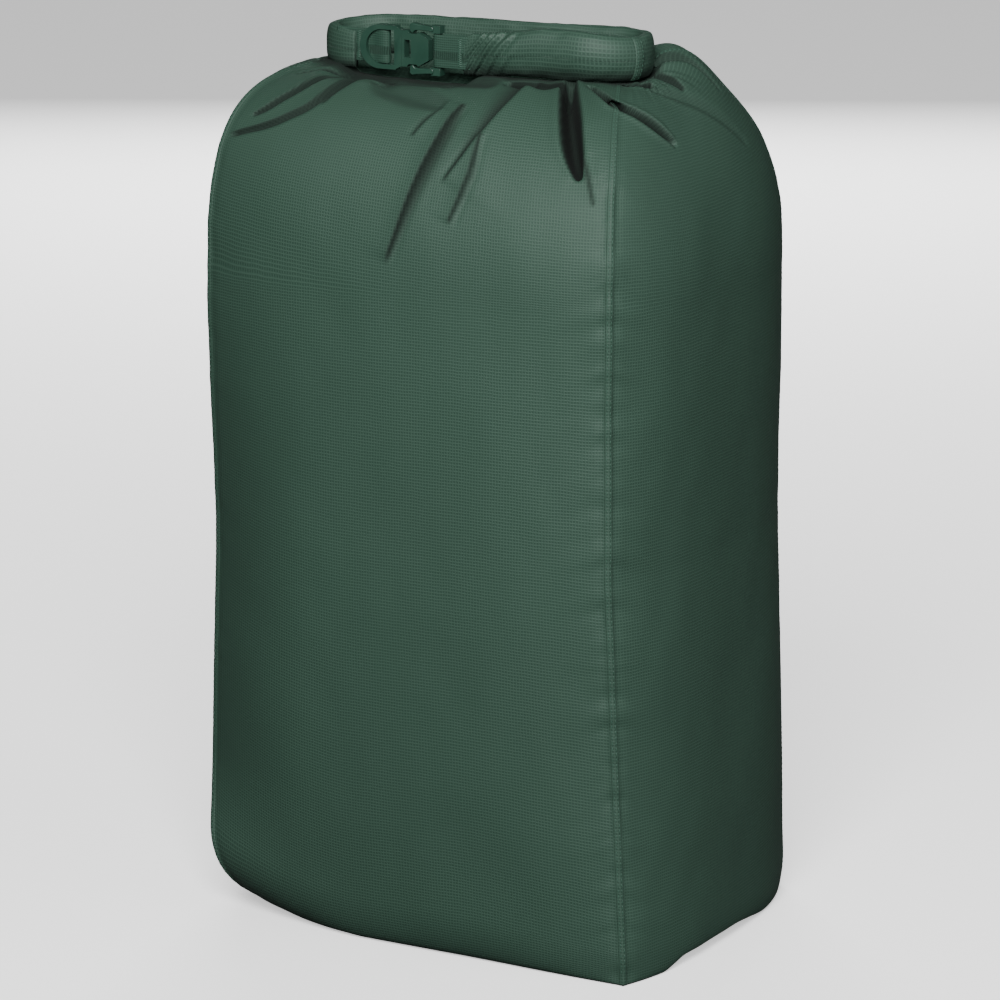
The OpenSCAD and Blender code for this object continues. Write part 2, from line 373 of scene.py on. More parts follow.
class Groups:
    """Shader groups that more than one finish uses, each built once."""

    made: dict[str, bpy.types.NodeTree] = {}

    @classmethod
    def start(
        cls, name: str, inputs: list[tuple[str, str, object]], outputs: list[tuple[str, str]]
    ) -> NodeSheet:
        """Makes an empty group with its sockets.

        Args:
            name: the group's name.
            inputs: name, socket type and default of each input.
            outputs: name and socket type of each output.

        Returns:
            a sheet on the group's tree; its group input and output nodes are the first two nodes.
        """
        tree = bpy.data.node_groups.new(name, "ShaderNodeTree")
        for label, kind, default in inputs:
            socket = tree.interface.new_socket(name=label, in_out="INPUT", socket_type=kind)
            if default is not None:
                socket.default_value = default
        for label, kind in outputs:
            tree.interface.new_socket(name=label, in_out="OUTPUT", socket_type=kind)
        tree.nodes.new("NodeGroupInput")
        tree.nodes.new("NodeGroupOutput")
        cls.made[name] = tree
        return NodeSheet(tree)

    @classmethod
    def weave(cls) -> bpy.types.NodeTree:
        """Woven threads with a heavier ripstop thread at every cell.

        In cloth metres: the cell lines are raised cosines of the coordinate over the cell size, sharpened
        by a power; the plain threads between them are a product of two fine sines; slow noise varies the
        cloth. Height, Shade and Wear go from 0 to 1.

        Returns:
            the group.
        """
        if "weave" in cls.made:
            return cls.made["weave"]
        n = cls.start(
            "weave",
            [
                ("Cloth", "NodeSocketVector", None),
                ("Cell", "NodeSocketFloat", 0.0028),
                ("Threads", "NodeSocketFloat", 4.0),
                ("Sharpness", "NodeSocketFloat", 2.0),
            ],
            [("Height", "NodeSocketFloat"), ("Shade", "NodeSocketFloat"), ("Wear", "NodeSocketFloat")],
        )
        gi, go = n.tree.nodes[0], n.tree.nodes[1]
        wobble = n.add(
            "ShaderNodeTexNoise", noise_dimensions="3D", in_Vector=gi.outputs["Cloth"], in_Scale=60.0,
            in_Detail=1.0,
        )
        nudge = n.add("ShaderNodeVectorMath", operation="SCALE", in_0=wobble.outputs["Color"])
        nudge.inputs["Scale"].default_value = 0.0012
        moved = n.add(
            "ShaderNodeVectorMath", operation="ADD", in_0=gi.outputs["Cloth"], in_1=nudge.outputs[0]
        )
        xyz = n.add("ShaderNodeSeparateXYZ", in_0=moved.outputs[0])
        turns = n.maths("DIVIDE", 2 * math.pi, gi.outputs["Cell"])
        lines = []
        fine = []
        for axis in (0, 1):
            phase = n.maths("MULTIPLY", xyz.outputs[axis], turns)
            wave = n.maths("MULTIPLY_ADD", n.maths("COSINE", phase), 0.5)
            wave.node.inputs[2].default_value = 0.5
            lines.append(n.maths("POWER", wave, gi.outputs["Sharpness"]))
            fine.append(n.maths("SINE", n.maths("MULTIPLY", phase, gi.outputs["Threads"])))
        threads = n.maths("MULTIPLY_ADD", n.maths("MULTIPLY", fine[0], fine[1]), 0.5)
        threads.node.inputs[2].default_value = 0.5
        weft = n.maths("MULTIPLY", lines[1], 1.0)
        both = n.maths("MAXIMUM", n.maths("MULTIPLY", lines[0], 0.85), weft)
        height = n.maths("ADD", n.maths("MULTIPLY", both, 0.75), n.maths("MULTIPLY", threads, 0.25))
        slow = n.add(
            "ShaderNodeTexNoise", noise_dimensions="3D", in_Vector=gi.outputs["Cloth"], in_Scale=14.0,
            in_Detail=4.0,
        )
        speck = n.add(
            "ShaderNodeTexNoise", noise_dimensions="3D", in_Vector=gi.outputs["Cloth"], in_Scale=900.0,
            in_Detail=1.0,
        )
        shade = n.maths("ADD", n.maths("MULTIPLY", both, 0.7), n.maths("MULTIPLY", speck.outputs[0], 0.3))
        n.tree.links.new(height, go.inputs["Height"])
        n.tree.links.new(shade, go.inputs["Shade"])
        n.tree.links.new(slow.outputs[0], go.inputs["Wear"])
        return n.tree

    @classmethod
    def grime(cls) -> bpy.types.NodeTree:
        """Slow and fine mottling in object space: Mask from 0 to 1 and a fine Height.

        Returns:
            the group.
        """
        if "mottle" in cls.made:
            return cls.made["mottle"]
        n = cls.start(
            "mottle",
            [
                ("Vector", "NodeSocketVector", None), ("Coarse", "NodeSocketFloat", 40.0),
                ("Fine", "NodeSocketFloat", 1500.0),
            ],
            [("Mask", "NodeSocketFloat"), ("Height", "NodeSocketFloat")],
        )
        gi, go = n.tree.nodes[0], n.tree.nodes[1]
        a = n.add("ShaderNodeTexNoise", in_Vector=gi.outputs[0], in_Scale=gi.outputs[1], in_Detail=3.0)
        b = n.add("ShaderNodeTexNoise", in_Vector=gi.outputs[0], in_Scale=gi.outputs[2], in_Detail=1.0)
        n.tree.links.new(a.outputs[0], go.inputs[0])
        n.tree.links.new(b.outputs[0], go.inputs[1])
        return n.tree


@dataclass(frozen=True)
class ClothFinish:
    """Woven cloth: coated ripstop nylon, webbing or binding, set by its numbers."""

    name: str
    dark: tuple[float, float, float, float]
    light: tuple[float, float, float, float]
    cell: float = 0.00275
    threads: float = 4.0
    sharpness: float = 2.0
    relief: float = 0.00012
    rough: float = 0.5
    specular: float = 0.35
    wear: float = 0.16
    stain: float = 0.16
    hollow_shade: float = 0.88
    hollow_rough: float = 0.42

    def material(self) -> bpy.types.Material:
        """Builds the material, reading the piece's own cloth coordinates.

        Returns:
            the material: colour between dark and light by the weave's shade and slow variation, roughness
            a little higher on the raised threads, and a bump from the weave's height. The piece's hollow
            attribute is painted shade: it takes up to hollow_shade off the colour and adds up to hollow_rough
                to
            the roughness.
        """
        mat = bpy.data.materials.new(self.name)
        mat.use_nodes = True
        n = NodeSheet(mat.node_tree)
        shader = mat.node_tree.nodes["Principled BSDF"]
        uv = n.add("ShaderNodeUVMap", uv_map="cloth")
        weave = n.add("ShaderNodeGroup", node_tree=Groups.weave(), in_Cloth=uv.outputs[0], in_Cell=self.cell)
        weave.inputs["Threads"].default_value = self.threads
        weave.inputs["Sharpness"].default_value = self.sharpness
        place = n.add("ShaderNodeTexCoord")
        spots = n.add(
            "ShaderNodeGroup", node_tree=Groups.grime(), in_Vector=place.outputs["Object"], in_Coarse=9.0
        )
        colour = n.mix(weave.outputs["Shade"], self.dark, self.light)
        # painted shade: the hollow attribute darkens the colour in fold hollows, along the neck and under the
        # roll
        hollow = n.add("ShaderNodeAttribute", attribute_name="hollow")
        lit = n.maths("MULTIPLY_ADD", hollow.outputs["Fac"], -self.hollow_shade)
        lit.node.inputs[2].default_value = 1.0
        tint = n.maths("MULTIPLY_ADD", spots.outputs["Mask"], self.stain)
        tint.node.inputs[2].default_value = 1 - self.stain / 2
        tint = n.maths("MULTIPLY", tint, lit)
        grey = n.add("ShaderNodeCombineColor", in_0=tint, in_1=tint, in_2=tint)
        toned = n.mix(1.0, colour, grey.outputs[0], "MULTIPLY")
        rough_base = n.maths("MULTIPLY_ADD", weave.outputs["Wear"], self.wear)
        rough_base.node.inputs[2].default_value = self.rough - self.wear / 2
        rough = n.maths("MULTIPLY_ADD", hollow.outputs["Fac"], self.hollow_rough)
        n.tree.links.new(rough_base, rough.node.inputs[2])
        bump = n.add("ShaderNodeBump", in_Height=weave.outputs["Height"])
        bump.inputs["Distance"].default_value = self.relief
        bump.inputs["Strength"].default_value = 1.0
        mat.node_tree.links.new(toned, shader.inputs["Base Color"])
        mat.node_tree.links.new(rough, shader.inputs["Roughness"])
        mat.node_tree.links.new(bump.outputs[0], shader.inputs["Normal"])
        shader.inputs["Specular IOR Level"].default_value = self.specular
        mat.diffuse_color = self.light
        return mat


@dataclass(frozen=True)
class MouldedPlastic:
    """Satin acetal with a faint moulded grain, mottled slowly towards a lighter colour."""

    name: str
    body: tuple[float, float, float, float]
    rubbed: tuple[float, float, float, float]
    rough: float = 0.38

    def material(self) -> bpy.types.Material:
        """Builds the material on object coordinates.

        Returns:
            the material: slow colour mottling, a pebbled bump, and roughness that follows the mottling.
        """
        mat = bpy.data.materials.new(self.name)
        mat.use_nodes = True
        n = NodeSheet(mat.node_tree)
        shader = mat.node_tree.nodes["Principled BSDF"]
        place = n.add("ShaderNodeTexCoord")
        spots = n.add(
            "ShaderNodeGroup", node_tree=Groups.grime(), in_Vector=place.outputs["Object"], in_Coarse=90.0
        )
        spots.inputs["Fine"].default_value = 2600.0
        colour = n.mix(spots.outputs["Mask"], self.body, self.rubbed)
        rough = n.maths("MULTIPLY_ADD", spots.outputs["Mask"], 0.2)
        rough.node.inputs[2].default_value = self.rough - 0.1
        bump = n.add("ShaderNodeBump", in_Height=spots.outputs["Height"])
        bump.inputs["Distance"].default_value = 0.00006
        mat.node_tree.links.new(colour, shader.inputs["Base Color"])
        mat.node_tree.links.new(rough, shader.inputs["Roughness"])
        mat.node_tree.links.new(bump.outputs[0], shader.inputs["Normal"])
        shader.inputs["Specular IOR Level"].default_value = 0.45
        return mat


@dataclass
class Wardrobe:
    """Every finish of the sack, built once."""

    nylon: bpy.types.Material = field(init=False)
    inner: bpy.types.Material = field(init=False)
    webbing: bpy.types.Material = field(init=False)
    thread: bpy.types.Material = field(init=False)
    plastic: bpy.types.Material = field(init=False)
    stiffener: bpy.types.Material = field(init=False)
    floor: bpy.types.Material = field(init=False)

    def __post_init__(self) -> None:
        """Builds the materials."""
        self.nylon = ClothFinish(
            "ripstop nylon",
            dark=(0.0140, 0.0380, 0.0255, 1),
            light=(0.0350, 0.0720, 0.0515, 1),
            cell=0.0019,
            relief=0.00016,
            rough=0.58,
            specular=0.28,
        ).material()
        self.inner = ClothFinish(
            "sealing tape",
            dark=(0.006, 0.026, 0.016, 1),
            light=(0.012, 0.042, 0.026, 1),
            rough=0.6,
            specular=0.3,
        ).material()
        self.webbing = ClothFinish(
            "webbing",
            dark=(0.0060, 0.0240, 0.0150, 1),
            light=(0.0240, 0.0640, 0.0430, 1),
            cell=0.0014,
            threads=2.0,
            sharpness=1.5,
            relief=0.00020,
            rough=0.70,
            specular=0.3,
        ).material()
        self.thread = ClothFinish(
            "thread",
            dark=(0.020, 0.066, 0.044, 1),
            light=(0.045, 0.110, 0.076, 1),
            cell=0.0006,
            relief=0.00005,
            specular=0.5,
        ).material()
        self.plastic = MouldedPlastic(
            "moulded buckle", (0.0100, 0.0340, 0.0225, 1), (0.020, 0.054, 0.037, 1)
        ).material()
        self.stiffener = MouldedPlastic(
            "stiffener strip", (0.010, 0.010, 0.010, 1), (0.018, 0.018, 0.018, 1), 0.5
        ).material()
        self.floor = self.plain_floor()

    @staticmethod
    def plain_floor() -> bpy.types.Material:
        """A plain pale matt floor that throws back less light than it shows, as a small sweep in a dark
        studio does.
        """
        mat = bpy.data.materials.new("pale floor")
        mat.use_nodes = True
        n = NodeSheet(mat.node_tree)
        shader = mat.node_tree.nodes["Principled BSDF"]
        shader.inputs["Base Color"].default_value = (0.86, 0.86, 0.86, 1.0)
        shader.inputs["Roughness"].default_value = 0.9
        shader.inputs["Specular IOR Level"].default_value = 0.0
        shader.inputs["Emission Color"].default_value = (1.0, 1.0, 1.0, 1.0)
        shader.inputs["Emission Strength"].default_value = 0.70
        quiet = n.add("ShaderNodeBsdfDiffuse")
        quiet.inputs["Color"].default_value = (0.08, 0.08, 0.08, 1.0)
        rays = n.add("ShaderNodeLightPath")
        both = n.add(
            "ShaderNodeMixShader", in_0=rays.outputs["Is Camera Ray"], in_1=quiet.outputs[0],
            in_2=shader.outputs[0],
        )
        n.tree.links.new(both.outputs[0], mat.node_tree.nodes["Material Output"].inputs[0])
        return mat


# ---------------------------------------------------------------------------------------------
# the body
# ---------------------------------------------------------------------------------------------


class FoldKind(Enum):
    """A crease is a sunk trough, or one ply lapping over the next."""

    TROUGH = "trough"
    LAP_LEFT = "the cloth on the left lies on top"
    LAP_RIGHT = "the cloth on the right lies on top"


@dataclass(frozen=True)
class Fold:
    """One crease in the stuffed cloth.

    route holds (round, up, reach): round is the side number plus its share across, up is the share of the
    height path and reach is the half width in millimetres. depth is positive into the sack where the reach
    is widest. lean makes the right side gentler and the left steeper, or the other way below 0; sharp is 1
    for a V and 3 for a slot; shade is how dark the shade painted into the hollow's colour lies, 0 to 1;
    lip is the height of the raised edge beside it. For a lap, depth is how proud the upper ply stands at
    its edge, reach is the width of the shaded hollow beside it, painted into the colour, and tail is how
    far back the upper ply takes to sink by two thirds.
    """

    route: tuple[tuple[float, float, float], ...]
    depth: float
    lean: float = 0.0
    sharp: float = 1.4
    shade: float = 0.6
    lip: float = 0.12
    kind: FoldKind = FoldKind.TROUGH
    tail: float = 0.012


FRONT_FOLDS = (
    # the deep upright cavity left of the front right seam
    Fold(
        (
            (0.858, 0.992, 2.2), (0.865, 0.957, 3.8), (0.887, 0.898, 4.8), (0.900, 0.855, 4.8),
            (0.912, 0.828, 3.9), (0.927, 0.800, 1.4),
        ),
        0.024, 0.0, 3.4, 1.0, 0.04,
    ),
    # the deep slanting cavity across the same seam
    Fold(
        (
            (0.915, 0.968, 0.8), (0.942, 0.953, 1.4), (0.987, 0.928, 2.6), (1.058, 0.908, 2.9),
            (1.205, 0.873, 3.3), (1.308, 0.840, 1.3),
        ),
        0.020, 0.0, 3.6, 1.0, 0.06,
    ),
    # the dark slot under the roll's right end
    Fold(
        ((1.02, 0.985, 1.0), (1.10, 0.978, 1.8), (1.25, 0.970, 2.4), (1.42, 0.962, 1.6)), 0.006, 0.0, 2.4,
        0.95,
    ),
    # the sunk cloth under the roll between the main pleat and the upright cavity
    Fold(
        ((0.66, 0.978, 3.0), (0.74, 0.970, 6.5), (0.80, 0.966, 7.0), (0.865, 0.968, 4.0)), 0.009, 0.0, 2.4,
        1.0, 0.0,
    ),
    # the main pleat: its right side laps over a dark wedge
    Fold(
        (
            (0.762, 0.985, 11.0), (0.750, 0.962, 11.0), (0.716, 0.910, 9.0), (0.678, 0.862, 5.2),
            (0.638, 0.816, 2.4), (0.599, 0.777, 0.8),
        ),
        0.0040, shade=0.95, kind=FoldKind.LAP_RIGHT, tail=0.020,
    ),
    # the long lap left of it, a bright ridge over a dark band
    Fold(
        (
            (0.606, 0.905, 1.5), (0.590, 0.876, 4.0), (0.577, 0.840, 7.0), (0.556, 0.799, 7.0),
            (0.533, 0.753, 5.0), (0.510, 0.713, 3.0), (0.484, 0.680, 1.2),
        ),
        0.0036, shade=0.95, kind=FoldKind.LAP_LEFT, tail=0.007,
    ),
    # the lit pleat between the two
    Fold(
        ((0.682, 0.856, 1.0), (0.674, 0.798, 2.8), (0.657, 0.768, 2.5), (0.632, 0.731, 1.0)), 0.0024,
        shade=0.85, kind=FoldKind.LAP_LEFT, tail=0.006,
    ),
    Fold(
        ((0.548, 0.892, 1.0), (0.520, 0.862, 3.6), (0.499, 0.834, 1.0)), 0.0018, shade=0.7,
        kind=FoldKind.LAP_RIGHT, tail=0.008,
    ),
    Fold(
        ((0.935, 0.836, 0.9), (0.950, 0.809, 2.0), (0.967, 0.772, 0.8)), 0.0016, shade=0.75,
        kind=FoldKind.LAP_LEFT, tail=0.005,
    ),
    # broad sinking under the buckle
    Fold(
        ((0.30, 0.955, 5.0), (0.36, 0.925, 8.0), (0.45, 0.912, 9.0), (0.55, 0.895, 5.0)), 0.0035, 0.0, 2.0,
        0.30, 0.0,
    ),
    Fold(
        ((0.16, 0.972, 5.0), (0.32, 0.970, 8.0), (0.50, 0.968, 9.0), (0.66, 0.965, 7.0)), 0.0020, 0.0, 2.0,
        0.65, 0.0,
    ),
    # creases below the roll's left end
    Fold(((0.10, 0.990, 4.0), (0.18, 0.984, 5.5), (0.30, 0.982, 4.5)), 0.006, 0.0, 2.2, 0.90, 0.0),
    Fold(((0.115, 0.985, 1.0), (0.085, 0.970, 2.2), (0.055, 0.940, 1.0)), 0.005, 0.0, 1.6, 0.80),
    Fold(
        (
            (0.150, 0.985, 1.5), (0.140, 0.955, 2.8), (0.128, 0.900, 2.3), (0.090, 0.850, 1.7),
            (0.060, 0.828, 0.8),
        ),
        0.006, 0.2, 1.5, 0.85,
    ),
    Fold(
        (
            (0.225, 0.975, 4.0), (0.221, 0.930, 3.0), (0.205, 0.865, 2.0), (0.125, 0.820, 1.7),
            (0.015, 0.785, 1.1),
        ),
        0.006, 0.3, 1.5, 0.80,
    ),
    Fold(((0.215, 0.990, 2.4), (0.231, 0.930, 2.4), (0.226, 0.870, 0.9)), 0.0035, 0.2, 1.5, 0.60),
    # creases of the right shoulder
    Fold(((1.70, 0.988, 2.8), (1.66, 0.955, 2.8), (1.62, 0.920, 1.0)), 0.005, 0.0, 1.6, 0.85, 0.0),
    Fold(
        ((1.27, 0.955, 2.0), (1.45, 0.925, 4.0), (1.65, 0.870, 4.0), (1.78, 0.800, 2.0)), 0.0018, 0.3, 1.6,
        0.12,
    ),
    Fold(((1.95, 0.985, 3.0), (1.93, 0.940, 3.0), (1.86, 0.880, 1.0)), 0.005, 0.2, 1.4, 0.50),
    # pleats of the back and the left side
    Fold(
        ((2.22, 0.990, 3.0), (2.24, 0.930, 3.5), (2.20, 0.850, 2.5), (2.23, 0.780, 1.0)), 0.007, 0.3, 1.5,
        0.70,
    ),
    Fold(((2.40, 0.990, 3.0), (2.43, 0.920, 3.0), (2.42, 0.860, 1.0)), 0.005, -0.3, 1.4, 0.50),
    Fold(
        ((2.63, 0.990, 4.0), (2.60, 0.930, 4.0), (2.63, 0.840, 3.0), (2.60, 0.740, 1.0)), 0.008, 0.4, 1.4,
        0.60,
    ),
    Fold(((2.82, 0.990, 3.0), (2.84, 0.930, 3.5), (2.88, 0.870, 1.2)), 0.011, 0.1, 2.6, 0.90),
    Fold(((3.15, 0.988, 3.0), (3.12, 0.930, 3.0), (3.10, 0.850, 1.0)), 0.005, 0.3, 1.4, 0.60),
    Fold(
        ((3.45, 0.990, 3.5), (3.48, 0.920, 4.0), (3.47, 0.840, 3.0), (3.50, 0.760, 1.0)), 0.0065, -0.3, 1.4,
        0.50,
    ),
    Fold(((3.75, 0.988, 3.0), (3.80, 0.930, 3.0), (3.86, 0.870, 1.0)), 0.006, 0.3, 1.4, 0.60),
)


@dataclass
class SackBody:
    """The stuffed body: its outline, how it gathers under the roll, and its folds."""

    wear: Wardrobe
    corner_x: float = 0.137
    corner_y: float = 0.115
    foot_x: float = 0.010
    foot_y: float = 0.004
    front_swell: float = 0.0136
    side_swell: float = 0.022
    foot_round: tuple[float, ...] = (0.056, 0.021, 0.028, 0.034)
    foot_inset: tuple[float, ...] = (0.043, 0.001, 0.003, 0.012)
    mid_round: tuple[float, ...] = (0.030, 0.022, 0.030, 0.030)
    mid_inset: tuple[float, ...] = (0.009, 0.003, 0.009, 0.009)
    foot_full: tuple[float, ...] = (0.5, 0.8, 0.5, 0.5)
    shoulder_z: float = 0.411
    neck_z: float = 0.5285
    neck_x: float = 0.0968
    neck_y: float = 0.014
    neck_cx: float = -0.0065
    square: tuple[float, ...] = (3.3, 2.1, 2.25, 2.0)
    foot_t: float = 0.07
    wall_t: float = 0.66
    folds: tuple[Fold, ...] = ()
    walls: list[Array] = field(default_factory=list)
    shades: list[Array] = field(default_factory=list)

    def outline(
        self,
        side: int,
        s: Array,
        cx: Array,
        cy: Array,
        fy: Array,
        sx: Array,
        pull: Array | float = 0.0,
        wide: Array | float = 0.0,
    ) -> tuple[Array, Array]:
        """A wall's plan: straight between its corners plus a swell of 1 minus |s| cubed.

        Args:
            side: 0 front, 1 right, 2 back, 3 left.
            s: -1 to 1 across the wall, turning anticlockwise round the sack.
            cx: half width between corners.
            cy: half depth between corners.
            fy: swell of front and back.
            sx: swell of the sides.
            pull: how far the front left corner is drawn back, easing in with the square of the way to it.
            wide: how far the same corner stands out to the left.

        Returns:
            x and y.
        """
        full = 1.0 - np.abs(s) ** 3
        if side == 0:
            turn = np.clip(-(s + 0.45) / 0.55, 0, 1) ** 2
            return cx * s - wide * turn, -(cy + fy * full) + pull * turn
        if side == 1:
            return cx + sx * full, cy * s
        if side == 2:
            return -cx * s, cy + fy * full
        turn = np.clip((s - 0.3) / 0.7, 0, 1) ** 2
        return -(cx + sx * full) - wide * turn, -cy * s + pull * turn

    def surface(self, side: int, s: Array, t: Array) -> Array:
        """The smooth body surface.

        From t 0 to foot_t a quarter ellipse lifts the cloth out from the base seam, its height and inset
        going from the panel's middle values to each corner's own with |s| past a quarter, to the power one
        and a half; to wall_t the wall goes straight up; from there a superellipse carries it in to the
        neck, squarer at the front left corner.

        Args:
            side: the wall's number.
            s: -1 to 1 across.
            t: 0 at the base seam, 1 at the neck.

        Returns:
            positions, the shape of s with 3 added.
        """
        s, t = np.broadcast_arrays(np.asarray(s, float), np.asarray(t, float))
        a = np.clip(t / self.foot_t, 0, 1) * math.pi / 2
        b = np.clip((t - self.foot_t) / (self.wall_t - self.foot_t), 0, 1)
        c = np.clip((t - self.wall_t) / (1 - self.wall_t), 0, 1) * math.pi / 2
        here, after = side, (side + 1) % 4
        k = np.clip((np.abs(s) - 0.25) / 0.75, 0, 1) ** 1.5
        rise = self.mid_round[side] * (1 - k) + k * np.where(
            s < 0, self.foot_round[here], self.foot_round[after]
        )
        inset = self.mid_inset[side] * (1 - k) + k * np.where(
            s < 0, self.foot_inset[here], self.foot_inset[after]
        )
        z = rise * (1 - np.cos(a)) + (self.shoulder_z - rise) * b
        inset = inset * (1 - np.sin(a))
        q0, q1 = self.square[side], self.square[(side + 1) % 4]
        p = q0 + (q1 - q0) * (s + 1) / 2 - 0.25 * (1 - s * s)
        g = 1 - np.cos(c) ** (2 / p)
        h = np.sin(c) ** (2 / p)
        low = 1 - np.clip(z / 0.25, 0, 1)
        full = self.foot_full[side] + (1 - self.foot_full[side]) * np.sin(
            np.clip(z / 0.15, 0, 1) * math.pi / 2
        )
        cx = self.corner_x + self.foot_x * low - inset
        cy = self.corner_y - self.foot_y * low - inset
        soft = (1 - smoothstep(z, 0.24, 0.45)) * smoothstep(z, 0.02, 0.10)
        x0, y0 = self.outline(
            side, s, cx, cy, self.front_swell * full, self.side_swell * full, 0.022 * soft, 0.0115 * soft
        )
        x1, y1 = self.outline(side, s, self.neck_x, self.neck_y, 0.013, 0.009)
        x = x0 + (x1 + self.neck_cx - x0) * g
        y = y0 + (y1 - y0) * g
        return np.stack([x, y, z + (self.neck_z - self.shoulder_z) * h], axis=-1)

    def at(self, rounds: Array, ups: Array) -> Array:
        """Positions on the smooth surface from (round, up) pairs.

        Args:
            rounds: the side's number plus the share across it.
            ups: shares of the height from the base seam to the neck.

        Returns:
            an array of points, 3 numbers each.
        """
        rounds, ups = np.asarray(rounds, float) % 4, np.asarray(ups, float)
        out = np.empty((*rounds.shape, 3))
        for side in range(4):
            here = np.floor(rounds).astype(int) == side
            out[here] = self.surface(side, 2 * (rounds[here] - side) - 1, ups[here])
        return out

    def fold_depth(self, points: Array, normals: Array) -> tuple[Array, Array]:
        """How far the folds push each point out along its normal, and the shade painted into their hollows.

        Each route is drawn smooth by a moving average. Its nearest place gives a distance, signed by side,
        and the reach there. The push is minus depth times exp(-(q^sharp)), q being the distance over that
        side's own reach, so a fold can be steep on one side and gentle on the other, and a raised lip
        stands 1.7 reaches away. The painted shade is exp(-(distance over about 1.4 reaches)^10). A lap is a
        tanh step over 1 or 2 mm whose upper side decays exponentially, with a shallow groove and the painted
        shade on its lower side.

        Args:
            points: n by 3 on the smooth surface.
            normals: n by 3.

        Returns:
            n distances and n shades.
        """
        push, dark = np.zeros(len(points)), np.zeros(len(points))
        for fold in self.folds:
            plan = np.array(fold.route)
            knots = np.column_stack([self.at(plan[:, 0], plan[:, 1]), plan[:, 2] / 1000])
            line = np.stack(
                [
                    np.interp(np.linspace(0, len(knots) - 1, 81), np.arange(len(knots)), knots[:, k])
                    for k in range(4)
                ],
                axis=1,
            )
            padded = np.concatenate([2 * line[0] - line[6:0:-1], line, 2 * line[-1] - line[-2:-8:-1]])
            line = np.stack([np.convolve(padded[:, k], np.ones(13) / 13, "valid") for k in range(4)], axis=1)
            route, reaches = line[:, :3], np.maximum(line[:, 3], 0.0005)
            wide = reaches.max()
            near = np.all((points > route.min(0) - 5 * wide) & (points < route.max(0) + 5 * wide), axis=1)
            if not near.any():
                continue
            p, nrm = points[near], normals[near]
            a, b = route[:-1], route[1:]
            ab = b - a
            k = np.clip(np.einsum("nsk,sk->ns", p[:, None] - a, ab) / (ab**2).sum(1), 0, 1)
            gap = p[:, None] - (a + k[..., None] * ab)
            dist = np.linalg.norm(gap, axis=2)
            best = dist.argmin(1)
            row = np.arange(len(p))
            side = np.sign(np.einsum("nk,nk->n", np.cross(nrm, ab[best]), gap[row, best]))
            share = (best + k[row, best]) / len(a)
            reach = np.interp(share * len(a), np.arange(len(route)), reaches)
            fade = smoothstep(share, -0.001, 0.05) * (1 - smoothstep(share, 0.93, 1.001))
            d = dist[row, best]
            if fold.kind is not FoldKind.TROUGH:
                over = d * side * (1.0 if fold.kind is FoldKind.LAP_RIGHT else -1.0)
                edge = 0.0009 if fold.kind is FoldKind.LAP_RIGHT else 0.0024
                upper = 0.5 * (1 + np.tanh(over / edge)) * np.exp(-np.maximum(over, 0) / fold.tail)
                under = 0.35 * np.exp(-(((over + 0.0018) / 0.0022) ** 2))
                push[near] += fade * fold.depth * (reach / wide) ** 0.5 * (upper - under)
                # painted shade: the colour darkens on the lap's lower side, where its upper ply would cast
                # shadow
                past = over - edge + 0.0009
                hollow = np.where(past < 0, np.exp(-((past / reach) ** 2)), np.exp(-((past / 0.0013) ** 2)))
                dark[near] = np.maximum(dark[near], fade * fold.shade * hollow)
                continue
            q = d / (reach * np.where(side > 0, 1 + fold.lean, 1 - fold.lean))
            trough = np.exp(-(q**fold.sharp))
            lip = np.exp(-(((q - 1.7) / 0.9) ** 2)) * np.where(
                side > 0, 0.5 - 0.5 * fold.lean, 0.5 + 0.5 * fold.lean
            )
            push[near] += fade * fold.depth * (reach / wide) ** 0.7 * (2 * fold.lip * lip - trough)
            # painted shade: the colour darkens in and around the trough
            dark[near] = np.maximum(
                dark[near], fade * fold.shade * np.exp(-((d / (1.35 * reach + 0.0004)) ** 10))
            )
        return push, dark

    def pucker(self, points: Array, edge: Array, strength: Array) -> Array:
        """Small gathers that the corner stitching draws into the cloth.

        A ripple of mixed wavelengths up the seam, 7 to 26 mm, a third as strong on the stitches themselves
        and dying away from the corner over about 12 mm, on top of a shallow valley beside the seam.

        Args:
            points: n by 3.
            edge: distance of each point to its nearest corner seam.
            strength: 1 at the front right seam and less at the others.

        Returns:
            n distances along the normal.
        """
        z, d = points[:, 2], edge
        slope = z + 0.35 * d
        ripple = value_noise(slope / 0.009, d / 0.03, 5) + 0.8 * value_noise(slope / 0.019, d / 0.05 + 9, 6)
        small = value_noise(slope / 0.0045, d / 0.012 + 3, 7)
        decay = np.exp(-d / 0.011)
        gather = 0.0015 * ripple * decay + 0.0007 * small * np.exp(-d / 0.007)
        gather *= 1 - 0.65 * np.exp(-((d / 0.0035) ** 2))
        return strength * gather - 0.0004 * np.exp(-(((d - 0.0045) / 0.003) ** 2))

    def slack(self, points: Array) -> Array:
        """Broad soft dents and bulges of the packing, 1 to 3 mm.

        Args:
            points: n by 3 on the smooth surface.

        Returns:
            n distances.
        """
        x, y, z = points.T
        big = value_noise(x / 0.11 + 3.3, z / 0.13 + y / 0.12, 11) + 0.5 * value_noise(
            x / 0.05 + y / 0.06, z / 0.07, 12
        )
        fine = value_noise(x / 0.02 + y / 0.021, z / 0.028 + 5, 13)
        return 0.0016 * big * smoothstep(z, 0.0, 0.06) + 0.00025 * fine

